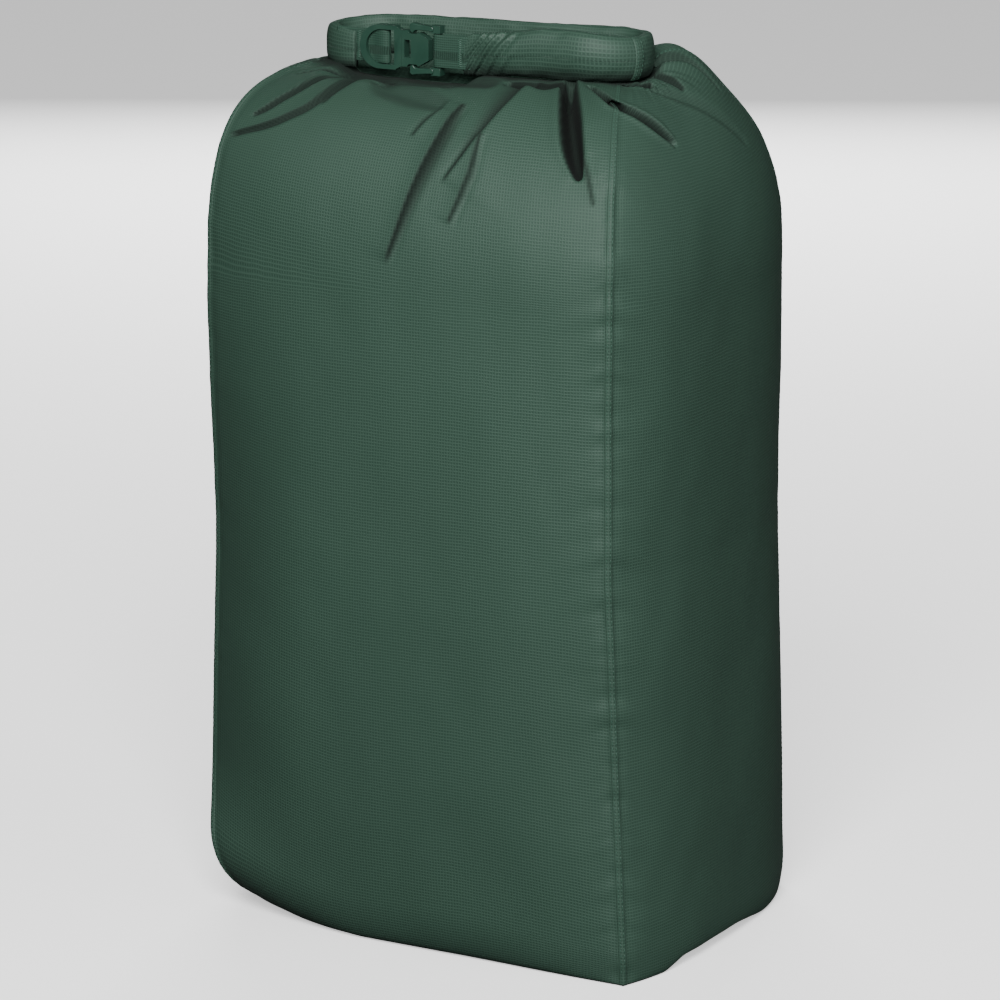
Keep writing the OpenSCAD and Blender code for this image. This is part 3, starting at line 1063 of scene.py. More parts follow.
    def columns(self, side: Side, count: int) -> Array:
        """Places across a wall: 1 mm apart beside the corner seams, and 1.7 times closer in folded than in
        plain cloth.

        Args:
            side: which wall.
            count: how many.

        Returns:
            s from -1 to 1.
        """
        s = np.linspace(-1, 1, 4001)
        folded = {
            Side.FRONT: 1 - smoothstep(s, -0.55, -0.45) * (1 - smoothstep(s, -0.12, -0.04)),
            Side.RIGHT: 1 - smoothstep(s, -0.40, -0.25),
        }.get(side, 0 * s)
        ends = smoothstep(np.abs(s), 0.90, 0.97)
        close = (self.corner_x if side.value % 2 == 0 else self.corner_y) * 1000
        plain = (1 + 0.7 * folded) * (1 - ends)
        ds = s[1] - s[0]
        density = plain * (count - 1 - close * ends.sum() * ds) / (plain.sum() * ds) + close * ends
        run = np.concatenate([[0], np.cumsum((density[1:] + density[:-1]) / 2)])
        return np.interp(np.linspace(0, run[-1], count), run, s)

    def rows(self, count: int) -> Array:
        """Heights for a panel's rows: even steps of length up a wall, but about twice as fine on the shoulder.

        Args:
            count: how many.

        Returns:
            t from 0 to 1.
        """
        t = np.linspace(0, 1, 1600)
        step = np.linalg.norm(np.diff(self.surface(0, np.full(1600, 0.75), t), axis=0), axis=1)
        run = np.concatenate([[0], np.cumsum(step * np.where(t[1:] > self.wall_t, 2.1, 1.0))])
        return np.interp(np.linspace(0, run[-1], count), run, t)

    def puff(self, points: Array, t: Array) -> Array:
        """The shoulder's full hump outside the ring's right end: a round Gaussian, none at the neck edge.

        Args:
            points: n by 3 on the smooth surface.
            t: their n heights.

        Returns:
            n rises.
        """
        x, y, z = points.T
        hump = np.exp(-(((x - 0.094) / 0.026) ** 2) - ((y - 0.046) / 0.030) ** 2)
        return 0.0185 * hump * smoothstep(z, 0.38, 0.47) * (1 - smoothstep(t, 0.975, 0.999))

    def foot_lift(self, rounds: Array, t: Array) -> Array:
        """How far the right wall's base seam lifts off the ground, over the middle of that side."""
        window = smoothstep(rounds, 1.14, 1.26) * (1 - smoothstep(rounds, 1.50, 1.80))
        return 0.0065 * window * (1 - smoothstep(t, 0.0, 0.05))

    def neck_drop(self, x: Array, y: Array) -> Array:
        """How far the neck sinks under the buckle and the male half's travel, on the front side only."""
        window = smoothstep(x, -0.096, -0.084) * (1 - smoothstep(x, -0.006, 0.008))
        return 0.0065 * window * smoothstep(-y, 0.010, 0.022)

    def gathers(self, rounds: Array, t: Array) -> Array:
        """Radial pleats that the rolled collar draws into the cloth just below it, up to 1 mm."""
        fold = value_noise(rounds * 15.0, t * 4.0, 31) + 0.6 * value_noise(rounds * 33.0, t * 7.0, 32)
        return 0.0008 * fold * smoothstep(t, 0.86, 0.99)

    def panel(self, side: Side, cols: int, rows: int) -> tuple[Array, Array, Array]:
        """One wall's finished grid of points and its cloth coordinates.

        Columns crowd towards the corner seams and rows towards the shoulders. Each point of the smooth
        surface moves along its normal by the folds, the seam gathers and the slack, and up by the hump. At
        the seams the normal turns to the corner's own diagonal, so that both walls move the shared edge
        alike.

        Args:
            side: which wall.
            cols: points across.
            rows: points up.

        Returns:
            positions (rows, cols, 3), cloth coordinates (rows, cols, 2) and the shade painted into the
            colour in the hollows and along the neck (rows, cols).
        """
        s = self.columns(side, cols)
        t = self.rows(rows)
        ss, tt = np.meshgrid(s, t)
        base = self.surface(side.value, ss, tt)
        normal = grid_normals(base)
        corner = []
        for end, other in ((-1.0, -1), (1.0, 1)):
            near = self.surface((side.value + other) % 4, np.array([[-end, -end * 0.98]]), t[:, None])
            mine = base[:, 0 if end < 0 else -1] - base[:, 1 if end < 0 else -2]
            theirs = near[:, 0] - near[:, 1]
            mine = mine / np.linalg.norm(mine, axis=1, keepdims=True)
            theirs = theirs / np.linalg.norm(theirs, axis=1, keepdims=True)
            diag = mine + theirs
            corner.append(diag / np.maximum(np.linalg.norm(diag, axis=1, keepdims=True), 1e-9))
        d_left = np.linalg.norm(base - base[:, :1], axis=2)
        d_right = np.linalg.norm(base - base[:, -1:], axis=2)
        for dist, diag in ((d_left, corner[0]), (d_right, corner[1])):
            k = np.exp(-((dist / 0.006) ** 2))[..., None]
            normal = normal * (1 - k) + diag[:, None] * k
        normal /= np.linalg.norm(normal, axis=2, keepdims=True)
        flat_p, flat_n = base.reshape(-1, 3), normal.reshape(-1, 3)
        edge = np.minimum(d_left, d_right).ravel()
        rounds = side.value + (ss.ravel() + 1) / 2
        own = 1 if side is Side.FRONT else 0 if side is Side.RIGHT else 2
        tight = np.where((d_left < d_right).ravel(), 0.25 if own != 0 else 1.0, 0.25 if own != 1 else 1.0)
        push, dark = self.fold_depth(flat_p, flat_n)
        push += self.pucker(flat_p, edge, tight) + self.slack(flat_p)
        # painted shade: a dark band in the colour along the neck, under the roll
        dark = np.maximum(dark, 0.9 * smoothstep(tt.ravel(), 0.972, 0.995))
        push += self.gathers(np.where(rounds >= 4, rounds - 4, rounds), tt.ravel())
        ends = smoothstep(tt.ravel(), 0.0, 0.03) * (1 - 0.8 * smoothstep(tt.ravel(), 0.985, 1.0))
        out = flat_p + flat_n * (push * ends)[:, None]
        sunk = self.neck_drop(flat_p[:, 0], flat_p[:, 1]) * smoothstep(tt.ravel(), 0.93, 0.99)
        out[:, 2] += self.puff(flat_p, tt.ravel()) - sunk
        out[:, 2] += self.foot_lift(rounds, tt.ravel())
        out = out.reshape(base.shape)
        out[..., 2] = np.maximum(out[..., 2], 0.0)
        half = (self.corner_x if side.value % 2 == 0 else self.corner_y) * 1.03
        up = np.concatenate([[0], np.cumsum(np.linalg.norm(np.diff(base[:, cols // 2], axis=0), axis=1))])
        uv = np.stack([ss * half + 0.4 * side.value, np.repeat(up[:, None], cols, 1)], axis=-1)
        return out, uv, dark.reshape(ss.shape)

    def build_walls(self) -> None:
        cols = {Side.FRONT: 158, Side.RIGHT: 132, Side.BACK: 112, Side.LEFT: 100}
        for side in Side:
            pts, uv, dark = self.panel(side, cols[side], 314)
            self.walls.append(pts)
            self.shades.append(dark)
            piece = new_piece(f"{side.name.lower()}_wall", pts, grid_faces(*pts.shape[:2]), uv)
            # painted shade in the fold hollows and along the neck
            paint_shade(piece, dark)
            thicken(piece, 0.0006)
            piece.data.materials.append(self.wear.nylon)
            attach(piece, "sack")
            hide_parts(f"{side.name.lower()}_panel")
            LOG.info("wall %s: %d points", side.name, pts.shape[0] * pts.shape[1])

    def corner_strip(
        self, corner: int, reach: int, lift: Array, first: int, last: int
    ) -> tuple[Array, Array, Array]:
        """A strip of the finished walls either side of a corner, moved off them.

        Args:
            corner: the corner after wall number corner.
            reach: columns to take from each wall.
            lift: how far each of the 2 reach + 1 columns stands off, outwards.
            first: first row.
            last: row after the last.

        Returns:
            positions, normals and cloth coordinates of the strip.
        """
        a, b = self.walls[corner], self.walls[(corner + 1) % 4]
        pts = np.concatenate([a[first:last, -reach - 1 :], b[first:last, 1 : reach + 1]], axis=1)
        normal = grid_normals(pts)
        smooth = (normal + np.roll(normal, 1, 0) + np.roll(normal, -1, 0)) / 3
        smooth[[0, -1]] = normal[[0, -1]]
        normal = smooth / np.linalg.norm(smooth, axis=2, keepdims=True)
        moved = pts + normal * lift[None, :, None]
        up = along(pts[:, reach])
        across = np.concatenate([[0], np.cumsum(np.linalg.norm(np.diff(pts[len(pts) // 2], axis=0), axis=1))])
        uv = np.stack(np.broadcast_arrays(across[None, :] + 0.1 * corner, up[:, None]), axis=-1)
        return moved, normal, uv

    def build_seams(self) -> None:
        """Makes each corner's folded seam with its two stitch lines, and the sealing tape behind it.

        The seam stands 0.3 mm proud over 6 mm, its edges tucked into the cloth; the tape lies 1 mm inside
        and reaches 8 mm to each side.
        """
        proud = np.array([-0.2, 0.26, 0.12, 0.32, 0.12, 0.26, -0.2]) / 1000
        for corner, name in enumerate(("front_right", "back_right", "back_left", "front_left")):
            pts, normal, uv = self.corner_strip(corner, 3, proud, 0, 313)
            seam = new_piece(f"{name}_seam", pts, grid_faces(*pts.shape[:2]), uv)
            # the seam strip carries the walls' painted shade where it crosses their folds
            a, b = self.shades[corner], self.shades[(corner + 1) % 4]
            paint_shade(seam, np.concatenate([a[:313, -4:], b[:313, 1:4]], axis=1))
            thicken(seam, 0.0005)
            seam.data.materials.append(self.wear.nylon)
            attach(seam, "sack")
            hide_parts(f"seam_{name}")
            for line, column in (("first", 2), ("second", 4)):
                thread = stitch_line(
                    f"{name}_{line}_stitches", pts[4:-6, column], normal[4:-6, column], 0.0034, 0.0023,
                    0.00021,
                )
                thread.data.materials.append(self.wear.thread)
                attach(thread, "sack")
            inside, _, uv = self.corner_strip(corner, 8, np.full(17, -0.0011), 12, 304)
            tape = new_piece(f"{name}_tape", inside, grid_faces(*inside.shape[:2]), uv)
            thicken(tape, 0.0003)
            tape.data.materials.append(self.wear.inner)
            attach(tape, "sack")
            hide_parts(f"tape_{name}")
            LOG.info("seam %s", name)

    def rim(self, t: float) -> Array:
        """The body's outline at one height share, as one closed run of points."""
        s = np.linspace(-1, 1, 61)[:-1]
        return np.concatenate([self.surface(k, s, np.full(60, t)) for k in range(4)])

    def build_gather(self) -> None:
        """Makes the gathered cloth that closes the neck inside the ring.

        It runs from the neck's outline in to a line along the ring's middle; it sags by a half sine and
        carries radial pleats, a cosine round the outline with an uneven phase.
        """
        edge = self.rim(1.0)
        edge[:, 2] -= self.neck_drop(edge[:, 0], edge[:, 1])
        v = np.linspace(0, 1, 34)[:, None]
        mid_x = np.clip(edge[:, 0], self.neck_cx - 0.078, self.neck_cx + 0.078)
        count = np.arange(len(edge)) / len(edge)
        phase = 2 * math.pi * 34 * count + 1.6 * value_noise(count * 17, 0 * count, 41)
        pleat = np.cos(phase) * (0.6 + 0.4 * value_noise(count * 23, 0 * count + 4, 42))
        x = edge[:, 0] * (1 - v) + mid_x * v
        y = edge[:, 1] * (1 - v)
        inside_roll = 0.5272
        z = edge[:, 2] + (inside_roll - edge[:, 2]) * v - 0.007 * np.sin(v * math.pi * 0.8)
        z = z + 0.0019 * pleat * np.sin(v * math.pi) ** 0.7
        pts = np.stack([x, y, z], axis=-1)
        uv = np.stack(np.broadcast_arrays(count[None, :] * 0.46, v * 0.03), axis=-1)
        piece = new_piece("neck_gather", pts, grid_faces(34, len(edge), wrap=True), uv)
        thicken(piece, 0.0005)
        piece.data.materials.append(self.wear.nylon)
        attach(piece, "sack")
        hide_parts("collar_gather")
        LOG.info("neck gather: %d points", pts.size // 3)

    def build_base(self) -> None:
        """Makes the base panel: rings of the base seam's outline drawn in to a centre point, nearly flat."""
        s = np.linspace(-1, 1, 61)[:-1]
        rim = np.concatenate([self.surface(k, s, np.zeros_like(s)) for k in range(4)])[:, :2]
        r = np.linspace(1, 0, 40)[:-1] ** 0.8
        x = rim[None, :, 0] * r[:, None]
        y = rim[None, :, 1] * r[:, None]
        lift = 0.0018 * smoothstep(r, 0.93, 1.0)[:, None] + 0.0004 * (
            1 + value_noise(x / 0.03, y / 0.03, 21)
        ) * (r[:, None] < 0.98)
        rounds = np.repeat(np.arange(4), 60) + np.tile((s + 1) / 2, 4)
        lift = lift + self.foot_lift(rounds, 0 * rounds)[None, :] * smoothstep(r, 0.80, 1.0)[:, None]
        pts = np.stack([x, y, lift], axis=-1).reshape(-1, 3)
        pts = np.concatenate([pts, [[0, 0, 0.0003]]])
        quads = grid_faces(len(r), len(rim), wrap=True)
        first = (len(r) - 1) * len(rim)
        i = np.arange(len(rim))
        fan = np.stack([first + i, first + (i + 1) % len(rim), np.full(len(rim), len(pts) - 1)], axis=1)
        mesh_faces = [tuple(q) for q in quads[:, ::-1].tolist()] + [tuple(f) for f in fan[:, ::-1].tolist()]
        mesh = bpy.data.meshes.new("base_sheet")
        mesh.from_pydata(pts.tolist(), [], mesh_faces)
        mesh.polygons.foreach_set("use_smooth", np.ones(len(mesh.polygons), bool))
        layer = mesh.uv_layers.new(name="cloth")
        corner = np.empty(len(mesh.loops), np.int32)
        mesh.loops.foreach_get("vertex_index", corner)
        layer.data.foreach_set("uv", pts[corner, :2].ravel())
        piece = bpy.data.objects.new("base_sheet", mesh)
        bpy.context.scene.collection.objects.link(piece)
        work = bmesh.new()
        work.from_mesh(mesh)
        bmesh.ops.recalc_face_normals(work, faces=work.faces)
        if sum(f.normal.z for f in work.faces) > 0:
            bmesh.ops.reverse_faces(work, faces=work.faces)
        work.to_mesh(mesh)
        work.free()
        thicken(piece, 0.0006)
        piece.data.materials.append(self.wear.nylon)
        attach(piece, "sack")
        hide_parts("base_panel")
        LOG.info("base sheet: %d points", len(pts))

    def build_base_tape(self) -> None:
        """Makes the sealing tape inside the base seam: a flat band 8 mm wide, 3 mm in from the base's edge."""
        edge = self.rim(0.0)
        step = np.roll(edge[:, :2], -1, 0) - np.roll(edge[:, :2], 1, 0)
        inward = np.stack([-step[:, 1], step[:, 0]], axis=1)
        inward /= np.linalg.norm(inward, axis=1, keepdims=True)
        d = np.linspace(0.0035, 0.0115, 6)[:, None, None]
        flat = edge[None, :, :2] + inward[None] * d
        pts = np.concatenate([flat, np.full((*flat.shape[:2], 1), 0.0032)], axis=2)
        run = along(edge)
        uv = np.stack(np.broadcast_arrays(run[None, :], d[..., 0]), axis=-1)
        tape = new_piece("base_tape", pts, grid_faces(6, len(edge), wrap=True), uv)
        thicken(tape, 0.0003)
        tape.data.materials.append(self.wear.inner)
        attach(tape, "sack")
        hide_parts("base_seam_tape")
        LOG.info("base tape")


# ---------------------------------------------------------------------------------------------
# the rolled collar
# ---------------------------------------------------------------------------------------------


@dataclass
class RolledCollar:
    """The rolled collar, bent round into a ring and clipped at the front left."""

    wear: Wardrobe
    left: float = -0.0833
    right: float = 0.0703
    radius: float = 0.0275
    front_end: float = -0.008
    level: float = 0.541
    half_width: float = 0.0045
    half_height: float = 0.0125

    @property
    def lengths(self) -> tuple[float, float, float]:
        """Lengths of the front straight, one bend and the back straight."""
        return self.right - self.front_end, math.pi * self.radius, self.right - self.left

    def route(self, d: Array) -> tuple[Array, Array]:
        """The ring's middle line: front straight, right bend, back straight, left bend.

        Args:
            d: distance from the front end.

        Returns:
            positions, and unit directions away from the ring's inside. The line dips 3.5 mm towards the
            left end and rises 1.5 mm to the right, and follows the roll's own height where that grows.
        """
        front, bend, back = self.lengths
        a = (d - front) / self.radius
        b = (d - front - bend - back) / self.radius
        parts = [d < front, d < front + bend, d < front + bend + back]
        x = np.select(
            parts,
            [self.front_end + d, self.right + self.radius * np.sin(a), self.right - (d - front - bend)],
            self.left - self.radius * np.sin(b),
        )
        y = np.select(
            parts, [0 * d - self.radius, -self.radius * np.cos(a), 0 * d + self.radius],
            self.radius * np.cos(b),
        )
        ox = np.select(parts, [0 * d, np.sin(a), 0 * d], -np.sin(b))
        oy = np.select(parts, [0 * d - 1, -np.cos(a), 0 * d + 1], np.cos(b))
        rise = np.interp(x, [-0.115, -0.06, 0.0, 0.10], [-0.0035, -0.0008, 0.0, 0.0015])
        z = self.level + rise + (self.height(d) - self.half_height)
        return np.stack([x, y, z], axis=-1), np.stack([ox, oy, 0 * d], axis=-1)

    def height(self, d: Array) -> Array:
        """Half the roll's height at a distance from its front end: fullest right of the middle of the
        front.
        """
        end = sum(self.lengths) + self.lengths[1]
        return np.interp(
            d,
            [0, 0.006, 0.030, 0.055, 0.080, 0.110, 0.16, 0.30, end - 0.02, end],
            [0.0108, 0.0122, 0.0136, 0.0153, 0.0150, 0.0130, 0.0126, 0.0126, 0.0128, 0.0112],
        )

    def width(self, d: Array) -> Array:
        """Half the roll's thickness, flattened where the webbing enters at both ends."""
        end = sum(self.lengths) + self.lengths[1]
        return np.interp(
            d, [0, 0.006, 0.020, end - 0.022, end],
            [0.0029, 0.0036, self.half_width, self.half_width, 0.0026],
        )

    def skin(self, d: Array, turn: Array, less: float = 0.0) -> Array:
        """The roll's surface in its own section: a superellipse with wrinkles.

        Args:
            d: distances, n.
            turn: angles round the section, m; 0 points away from the ring's inside, a quarter turn up.
            less: how far inside the outermost ply.

        Returns:
            n by m by 2: distance outwards and upwards. On the outer ply, crossing puckers lean up and right
            beside the webbing, soft wrinkles of 1 to 5 cm cover the rest, and the front is fuller above its
            middle by a parabola of 4 mm.
        """
        c, n = np.cos(turn)[None, :], np.sin(turn)[None, :]
        a, b = self.width(d)[:, None] - less, self.height(d)[:, None] - less
        out = a * np.sign(c) * np.abs(c) ** np.where(n < 0, 0.90, 0.68)
        up = b * np.sign(n) * np.abs(n) ** 0.68
        if less > 0:
            return np.stack([out, up], axis=-1)
        dd = d[:, None] + 0 * c
        wrinkle = 0.00055 * value_noise((dd - up) / 0.017, up / 0.020 + 2 * c, 51)
        wrinkle += 0.00025 * value_noise((dd - 0.7 * up) / 0.0065, up / 0.011 + 3 * c, 52)
        wrinkle += 0.0004 * value_noise(dd / 0.045, up / 0.016 + c, 53)
        lean = np.zeros_like(dd)
        for start, size, wide in (
            (0.0045, 1.0, 0.0013), (0.0100, 0.8, 0.0011), (0.0160, 1.25, 0.0018), (0.0250, 0.9, 0.0020),
            (0.0345, 0.5, 0.0022),
        ):
            q = dd - start - 0.85 * up - 0.001 * value_noise(up / 0.006, start * 400 + 0 * dd, 54)
            lean += size * (np.exp(-((q / wide) ** 2)) - 0.7 * np.exp(-(((q - 1.9 * wide) / wide) ** 2)))
        face = smoothstep(c, 0.1, 0.6)
        push = wrinkle + face * (
            0.0015 * lean * smoothstep(dd, 0.0, 0.004) * (1 - smoothstep(dd, 0.03, 0.045))
        )
        front, bend, _ = self.lengths
        full = smoothstep(dd, 0.006, 0.030) * (1 - smoothstep(dd, front + 0.2 * bend, front + 0.62 * bend))
        belly = 0.0042 * full * np.maximum(c, 0) ** 0.5 * np.maximum(1 - ((up / b - 0.25) / 1.25) ** 2, 0)
        return np.stack([out + belly + push * c, up + push * n], axis=-1)

    def tube(
        self, name: str, start: float, stop: float, less: float, steps: int, around: int,
        bulk: Array | None = None,
    ) -> bpy.types.Object:
        """One ply of the roll as a closed tube along the ring.

        Args:
            name: the piece's name.
            start: where it starts, from the front end.
            stop: where it ends.
            less: how far inside the outermost ply it lies.
            steps: stations along.
            around: points round the section.
            bulk: a fixed section, m by 2, in place of the roll's own.

        Returns:
            the object; on the outermost ply, shade is painted into the colour towards its underside.
        """
        d = np.linspace(start, stop, steps)
        centre, out = self.route(d)
        turn = self.even_turns(around)
        ring = self.skin(d, turn, less) if bulk is None else np.broadcast_to(bulk, (steps, *bulk.shape))
        piece = swept_tube(name, centre, out, np.broadcast_to([0.0, 0.0, 1.0], out.shape), ring)
        if bulk is None and less == 0:
            # painted shade: the outer ply's colour darkens towards the underside of its section
            low = -ring[..., 1] / self.height(d)[:, None]
            dark = np.zeros(len(piece.data.vertices))
            dark[: low.size] = 0.75 * smoothstep(low, 0.25, 0.95).ravel()
            paint_shade(piece, dark)
        return piece

    def even_turns(self, around: int) -> Array:
        """Angles round the section that are evenly spaced in length along it.

        Args:
            around: how many.

        Returns:
            that many angles in radians.
        """
        turn = np.linspace(0, 2 * math.pi, 1441)
        c, n = np.cos(turn), np.sin(turn)
        edge = np.stack(
            [
                self.half_width * np.sign(c) * np.abs(c) ** 0.68,
                self.half_height * np.sign(n) * np.abs(n) ** 0.68,
            ],
            axis=1,
        )
        run = along(edge)
        return np.interp(np.linspace(0, run[-1], around, endpoint=False), run, turn)

    def flat(self, offset: float, half_thick: float, half_high: float) -> Array:
        """The section of a flat strip: a very square superellipse, moved outwards by offset.

        Args:
            offset: metres from the ring's middle line.
            half_thick: half the strip's thickness.
            half_high: half its width, which stands up in the roll.

        Returns:
            20 by 2: outwards and up.
        """
        turn = np.linspace(0, 2 * math.pi, 20, endpoint=False)
        c, n = np.cos(turn), np.sin(turn)
        out = offset + half_thick * np.sign(c) * np.abs(c) ** 0.3
        return np.stack([out, half_high * np.sign(n) * np.abs(n) ** 0.3], axis=-1)

    def build(self) -> None:
        """Makes the outer and inner plies, the hem, its two stiffeners and the seam strip."""
        front, bend, back = self.lengths
        end = front + 2 * bend + back
        hem_stop = end - self.radius * math.radians(30)
        plies = (
            (
                "outer_ply", self.tube("outer_ply", 0.0, end, 0.0, 560, 72), "roll_outer_wrap",
                self.wear.nylon, "fabric", (end, 0.0345),
            ),
            (
                "inner_ply", self.tube("inner_ply", 0.0008, end - 0.0008, 0.0011, 240, 40),
                "roll_inner_wrap", self.wear.nylon, "fabric", (end, 0.0300),
            ),
            (
                "hem", self.tube("hem", 0.022, hem_stop, 0, 160, 20, self.flat(-1.5e-3, 0.4e-3, 8.6e-3)),
                "hem_band", self.wear.nylon, "fabric", (hem_stop - 0.022, 0.0180),
            ),
            (
                "outer_stiffener",
                self.tube(
                    "outer_stiffener", 0.022, hem_stop, 0, 160, 20, self.flat(1.4e-3, 0.5e-3, 8.8e-3)
                ),
                "stiffener_outer", self.wear.stiffener, "stiffener", None,
            ),
            (
                "inner_stiffener",
                self.tube(
                    "inner_stiffener", 0.022, hem_stop, 0, 160, 20, self.flat(-0.1e-3, 0.5e-3, 8.8e-3)
                ),
                "stiffener_inner", self.wear.stiffener, "stiffener", None,
            ),
        )
        for name, piece, node, material, slot, cut in plies:
            piece.data.materials.append(material)
            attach(piece, "sack")
            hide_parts(node)
            LOG.info("collar %s", name)
        self.build_strip()

    def build_strip(self) -> None:
        """Makes the sewn strip that stands on the outside of the right bend, with a stitch line near each
        edge.
        """
        start = self.lengths[0] + self.radius * math.radians(63)
        d = np.linspace(start, start + 0.0062, 9)
        turn = np.linspace(-1.25, 1.35, 44)
        centre, out = self.route(d)
        section = self.skin(d, turn)
        pts = centre[:, None] + section[..., :1] * out[:, None] + section[..., 1:] * np.array([0.0, 0.0, 1.0])
        pts = pts.transpose(1, 0, 2)
        normal = grid_normals(pts)
        proud = np.array([-0.2, 0.5, 0.45, 0.6, 0.6, 0.6, 0.45, 0.5, -0.2]) / 1000
        pts = pts + normal * proud[None, :, None]
        uv = np.stack(np.broadcast_arrays(d[None, :] * 1.2, along(pts[:, 4])[:, None]), axis=-1)
        piece = new_piece("collar_seam_strip", pts, grid_faces(*pts.shape[:2]), uv)
        thicken(piece, 0.0005)
        piece.data.materials.append(self.wear.nylon)
        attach(piece, "sack")
        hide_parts("roll_seam_strip")
        for side, column in (("left", 2), ("right", 6)):
            thread = stitch_line(
                f"collar_{side}_stitches", pts[2:-2, column], normal[2:-2, column], 0.0029, 0.0021, 0.0002
            )
            thread.data.materials.append(self.wear.thread)
            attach(thread, "sack")
        LOG.info("collar seam strip")


# ---------------------------------------------------------------------------------------------
# webbing and buckle
# ---------------------------------------------------------------------------------------------


@dataclass
class BuckleWebbing:
    """The two webbing loops that hold the buckle halves, and their bar-tacks."""

    wear: Wardrobe
    front: float = -0.0275
    level: float = 0.541
    half_width: float = 0.010
    half_thick: float = 0.0006
    male_bar: float = -0.0266
    female_bar: float = -0.062

    def strap(self, name: str, plan: list[tuple[float, float]], node: str) -> None:
        """A flat woven strap on edge, carried along a plan path.

        Args:
            name: the piece's name.
            plan: x and y of the strap's middle line, y from the ring's front line.
            node: the CAD node it stands for.
        """
        path = resample(np.array(plan), 90)
        for _ in range(4):
            path[1:-1] = (path[:-2] + 2 * path[1:-1] + path[2:]) / 4
        tangent = np.gradient(path, axis=0)
        tangent /= np.linalg.norm(tangent, axis=1, keepdims=True)
        out = np.stack([tangent[:, 1], -tangent[:, 0], np.zeros(len(path))], axis=1)
        centre = np.column_stack([path[:, 0], path[:, 1] + self.front, np.full(len(path), self.level)])
        turn = np.linspace(0, 2 * math.pi, 40, endpoint=False)
        c, n = np.cos(turn), np.sin(turn)
        ring = np.stack(
            [
                self.half_thick * np.sign(c) * np.abs(c) ** 0.35,
                self.half_width * np.sign(n) * np.abs(n) ** 0.35,
            ],
            axis=-1,
        )
        piece = swept_tube(
            name, centre, out, np.broadcast_to([0.0, 0.0, 1.0], out.shape),
            np.broadcast_to(ring, (90, 40, 2)),
        )
        piece.data.materials.append(self.wear.webbing)
        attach(piece, "sack")
        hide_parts(node)
        LOG.info("webbing %s", name)

    def tack(self, name: str, x: float, y: float, node: str) -> None:
        """A bar-tack: a dense upright block of short crossing stitches.

        Args:
            name: the piece's name.
            x: its middle.
            y: the webbing's front face there, from the ring's front line.
            node: the CAD node it stands for.
        """
        count = 26
        z = self.level + np.linspace(-0.0078, 0.0078, count)
        lean = np.where(np.arange(count) % 2, 0.35, -0.35)
        centre = np.column_stack([np.full(count, x), np.full(count, self.front + y), z])
        run = np.column_stack([np.cos(lean), np.zeros(count), np.sin(lean)])
        out = np.broadcast_to([0.0, -1.0, 0.0], (count, 3))
        piece = stitch_bars(name, centre, run, out, 0.0026, 0.00026)
        piece.data.materials.append(self.wear.thread)
        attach(piece, "sack")
        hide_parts(node)

    def build(self) -> None:
        """Makes both loops and both tacks."""
        r = 0.0023
        a = np.linspace(math.pi / 2, 3 * math.pi / 2, 15)
        male = [(0.004, 0.0005), (-0.010, 0.0018), (-0.015, r)]
        male += [(self.male_bar + r * math.cos(k), r * math.sin(k)) for k in a]
        male += [(-0.013, -r), (-0.009, -r), (0.004, -0.0009)]
        self.strap("male_strap", male, "webbing_male")
        a = np.linspace(-math.pi / 2, math.pi / 2, 15)
        female = [(-0.097, 0.0004), (-0.080, 0.0002), (-0.070, -0.0006), (-0.0655, -0.0021)]
        female += [(self.female_bar + 0.0024 * math.cos(k), 0.0024 * math.sin(k)) for k in a]
        female += [(-0.0655, 0.0028), (-0.070, 0.0021), (-0.080, 0.0018), (-0.097, 0.0016)]
        self.strap("female_strap", female, "webbing_female")
        self.tack("male_tack", -0.0098, -r - 0.0006, "bar_tack_male")
        self.tack("female_tack", -0.0812, -0.0005, "bar_tack_female")


@dataclass
class SideReleaseBuckle:
    """The buckle's four moulded parts, each the CAD part with its edges rounded."""

    wear: Wardrobe
    edge: float = 0.0005
    parts: tuple[tuple[str, str, str], ...] = (
        ("female_half", "buckle_female", "sack"),
        ("male_half_body", "buckle_male", "male_half"),
        ("upper_arm_part", "arm_upper", "upper_arm"),
        ("lower_arm_part", "arm_lower", "lower_arm"),
    )

    def build(self) -> None:
        """Copies each CAD part, merges its points and flat faces, and rounds its edges."""
        for name, node, body in self.parts:
            mesh = bpy.data.objects[node].data.copy()
            mesh.name = name
            mesh.materials.clear()
            work = bmesh.new()
            work.from_mesh(mesh)
            bmesh.ops.remove_doubles(work, verts=work.verts, dist=1e-6)
            bmesh.ops.dissolve_limit(work, angle_limit=math.radians(1.0), verts=work.verts, edges=work.edges)
            work.to_mesh(mesh)
            work.free()
            mesh.polygons.foreach_set("use_smooth", np.ones(len(mesh.polygons), bool))
            mesh.set_sharp_from_angle(angle=math.radians(35))
            piece = bpy.data.objects.new(name, mesh)
            bpy.context.scene.collection.objects.link(piece)
            bevel = piece.modifiers.new("rounded edges", "BEVEL")
            bevel.width = self.edge
            bevel.segments = 2
            bevel.limit_method = "ANGLE"
            bevel.angle_limit = math.radians(35)
            piece.data.materials.append(self.wear.plastic)
            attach(piece, body)
            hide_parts(node)
            LOG.info("buckle %s", name)


# ---------------------------------------------------------------------------------------------
# the room
# ---------------------------------------------------------------------------------------------


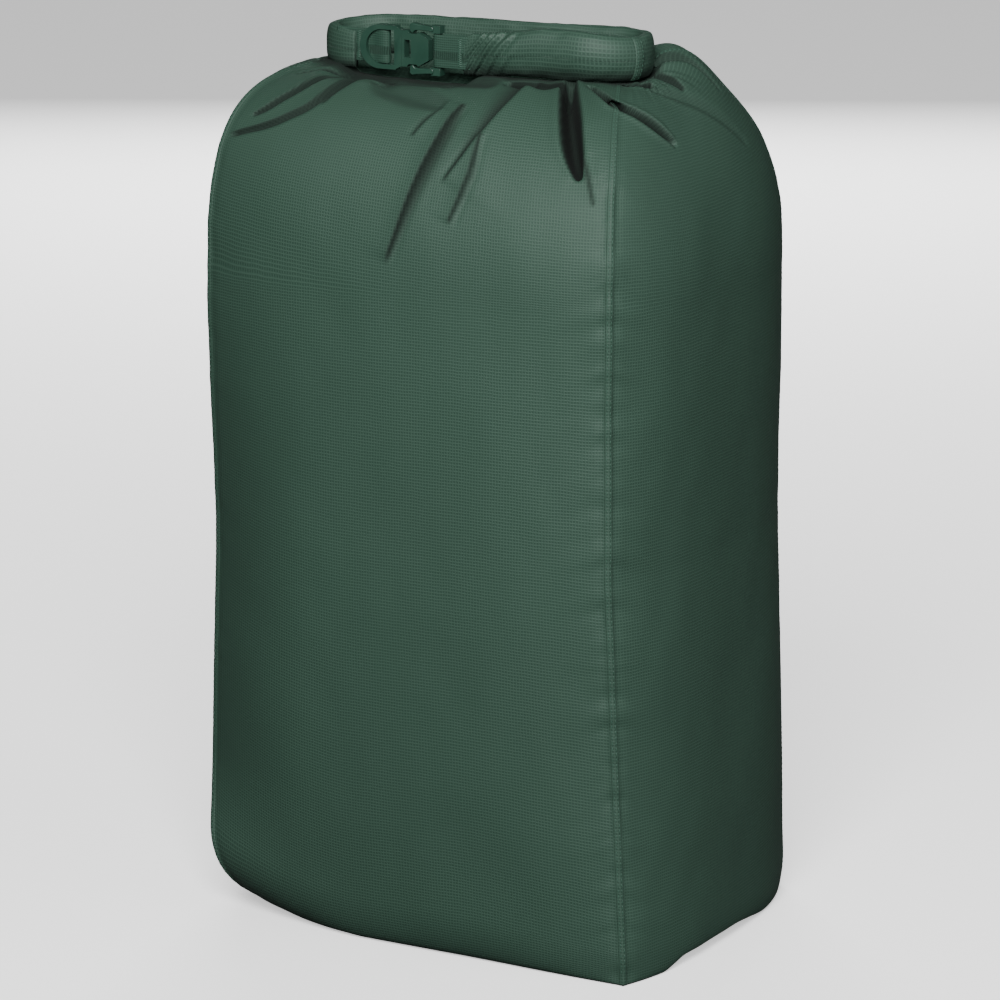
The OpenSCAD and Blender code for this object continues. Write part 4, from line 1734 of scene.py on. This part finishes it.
@dataclass
class Studio:
    """Plain pale floor, soft lights and the camera."""

    wear: Wardrobe
    azimuth: float = 28.8
    elevation: float = 14.15
    distance: float = 2.976
    target: tuple[float, float, float] = (0.0009, 0.0005, 0.2584)
    view_width: float = 0.62

    def floor(self) -> None:
        """A wide flat floor half a millimetre under z 0, so that it never lies in the base's own plane."""
        size, low = 6.0, -0.0005
        pts = np.array([[-size, -size, low], [size, -size, low], [size, size, low], [-size, size, low]], float)
        piece = new_piece("floor", pts, np.array([[0, 1, 2, 3]]))
        piece.data.materials.append(self.wear.floor)

    def camera(self) -> None:
        """A long lens at the viewing angle; the lens length is sensor times distance over the view's width."""
        a, e = math.radians(self.azimuth), math.radians(self.elevation)
        back = np.array([math.sin(a) * math.cos(e), -math.cos(a) * math.cos(e), math.sin(e)])
        cam = bpy.data.objects.new("camera", bpy.data.cameras.new("camera"))
        cam.data.sensor_width = 36.0
        cam.data.lens = 36.0 * self.distance / self.view_width
        cam.data.clip_end = 50.0
        cam.location = np.array(self.target) + back * self.distance
        cam.rotation_euler = (math.radians(90 - self.elevation), 0.0, a)
        bpy.context.scene.collection.objects.link(cam)
        bpy.context.scene.camera = cam

    def light(
        self,
        name: str,
        azimuth: float,
        elevation: float,
        distance: float,
        size: float,
        power: float,
        glossy: bool = True,
    ) -> None:
        """One soft square light aimed at the sack's middle.

        Args:
            name: the light's name.
            azimuth: degrees round from the front, positive to the right.
            elevation: degrees above the horizon.
            distance: metres from the sack.
            size: its side in metres.
            power: watts.
            glossy: False keeps it out of reflections, so that a light behind the sack draws no white rims.
        """
        a, e = math.radians(azimuth), math.radians(elevation)
        data = bpy.data.lights.new(name, "AREA")
        data.size = size
        data.energy = power
        lamp = bpy.data.objects.new(name, data)
        lamp.location = (
            distance * math.sin(a) * math.cos(e),
            -distance * math.cos(a) * math.cos(e),
            0.3 + distance * math.sin(e),
        )
        lamp.rotation_euler = (math.radians(90 - elevation), 0.0, a)
        lamp.visible_glossy = glossy
        bpy.context.scene.collection.objects.link(lamp)

    def build(self) -> None:
        """Sets the whole room."""
        self.floor()
        self.camera()
        self.light("key", azimuth=24.0, elevation=34.0, distance=2.6, size=1.3, power=138.0)
        self.light("side", azimuth=92.0, elevation=18.0, distance=3.0, size=1.6, power=24.0)
        self.light("back", azimuth=208.0, elevation=20.0, distance=2.8, size=1.8, power=95.0, glossy=False)
        world = bpy.data.worlds.new("room")
        world.use_nodes = True
        world.node_tree.nodes["Background"].inputs[0].default_value = (1.0, 1.0, 1.0, 1.0)
        world.node_tree.nodes["Background"].inputs[1].default_value = 0.03
        bpy.context.scene.world = world
        LOG.info("room ready")


def main() -> None:
    """Builds every piece in order."""
    logging.basicConfig(level=logging.INFO, format="%(name)s %(message)s")
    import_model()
    wear = Wardrobe()
    Studio(wear).build()
    body = SackBody(wear, folds=FRONT_FOLDS)
    body.build_walls()
    body.build_base()
    body.build_base_tape()
    body.build_seams()
    body.build_gather()
    RolledCollar(wear).build()
    BuckleWebbing(wear).build()
    SideReleaseBuckle(wear).build()


if __name__ == "__main__":
    main()
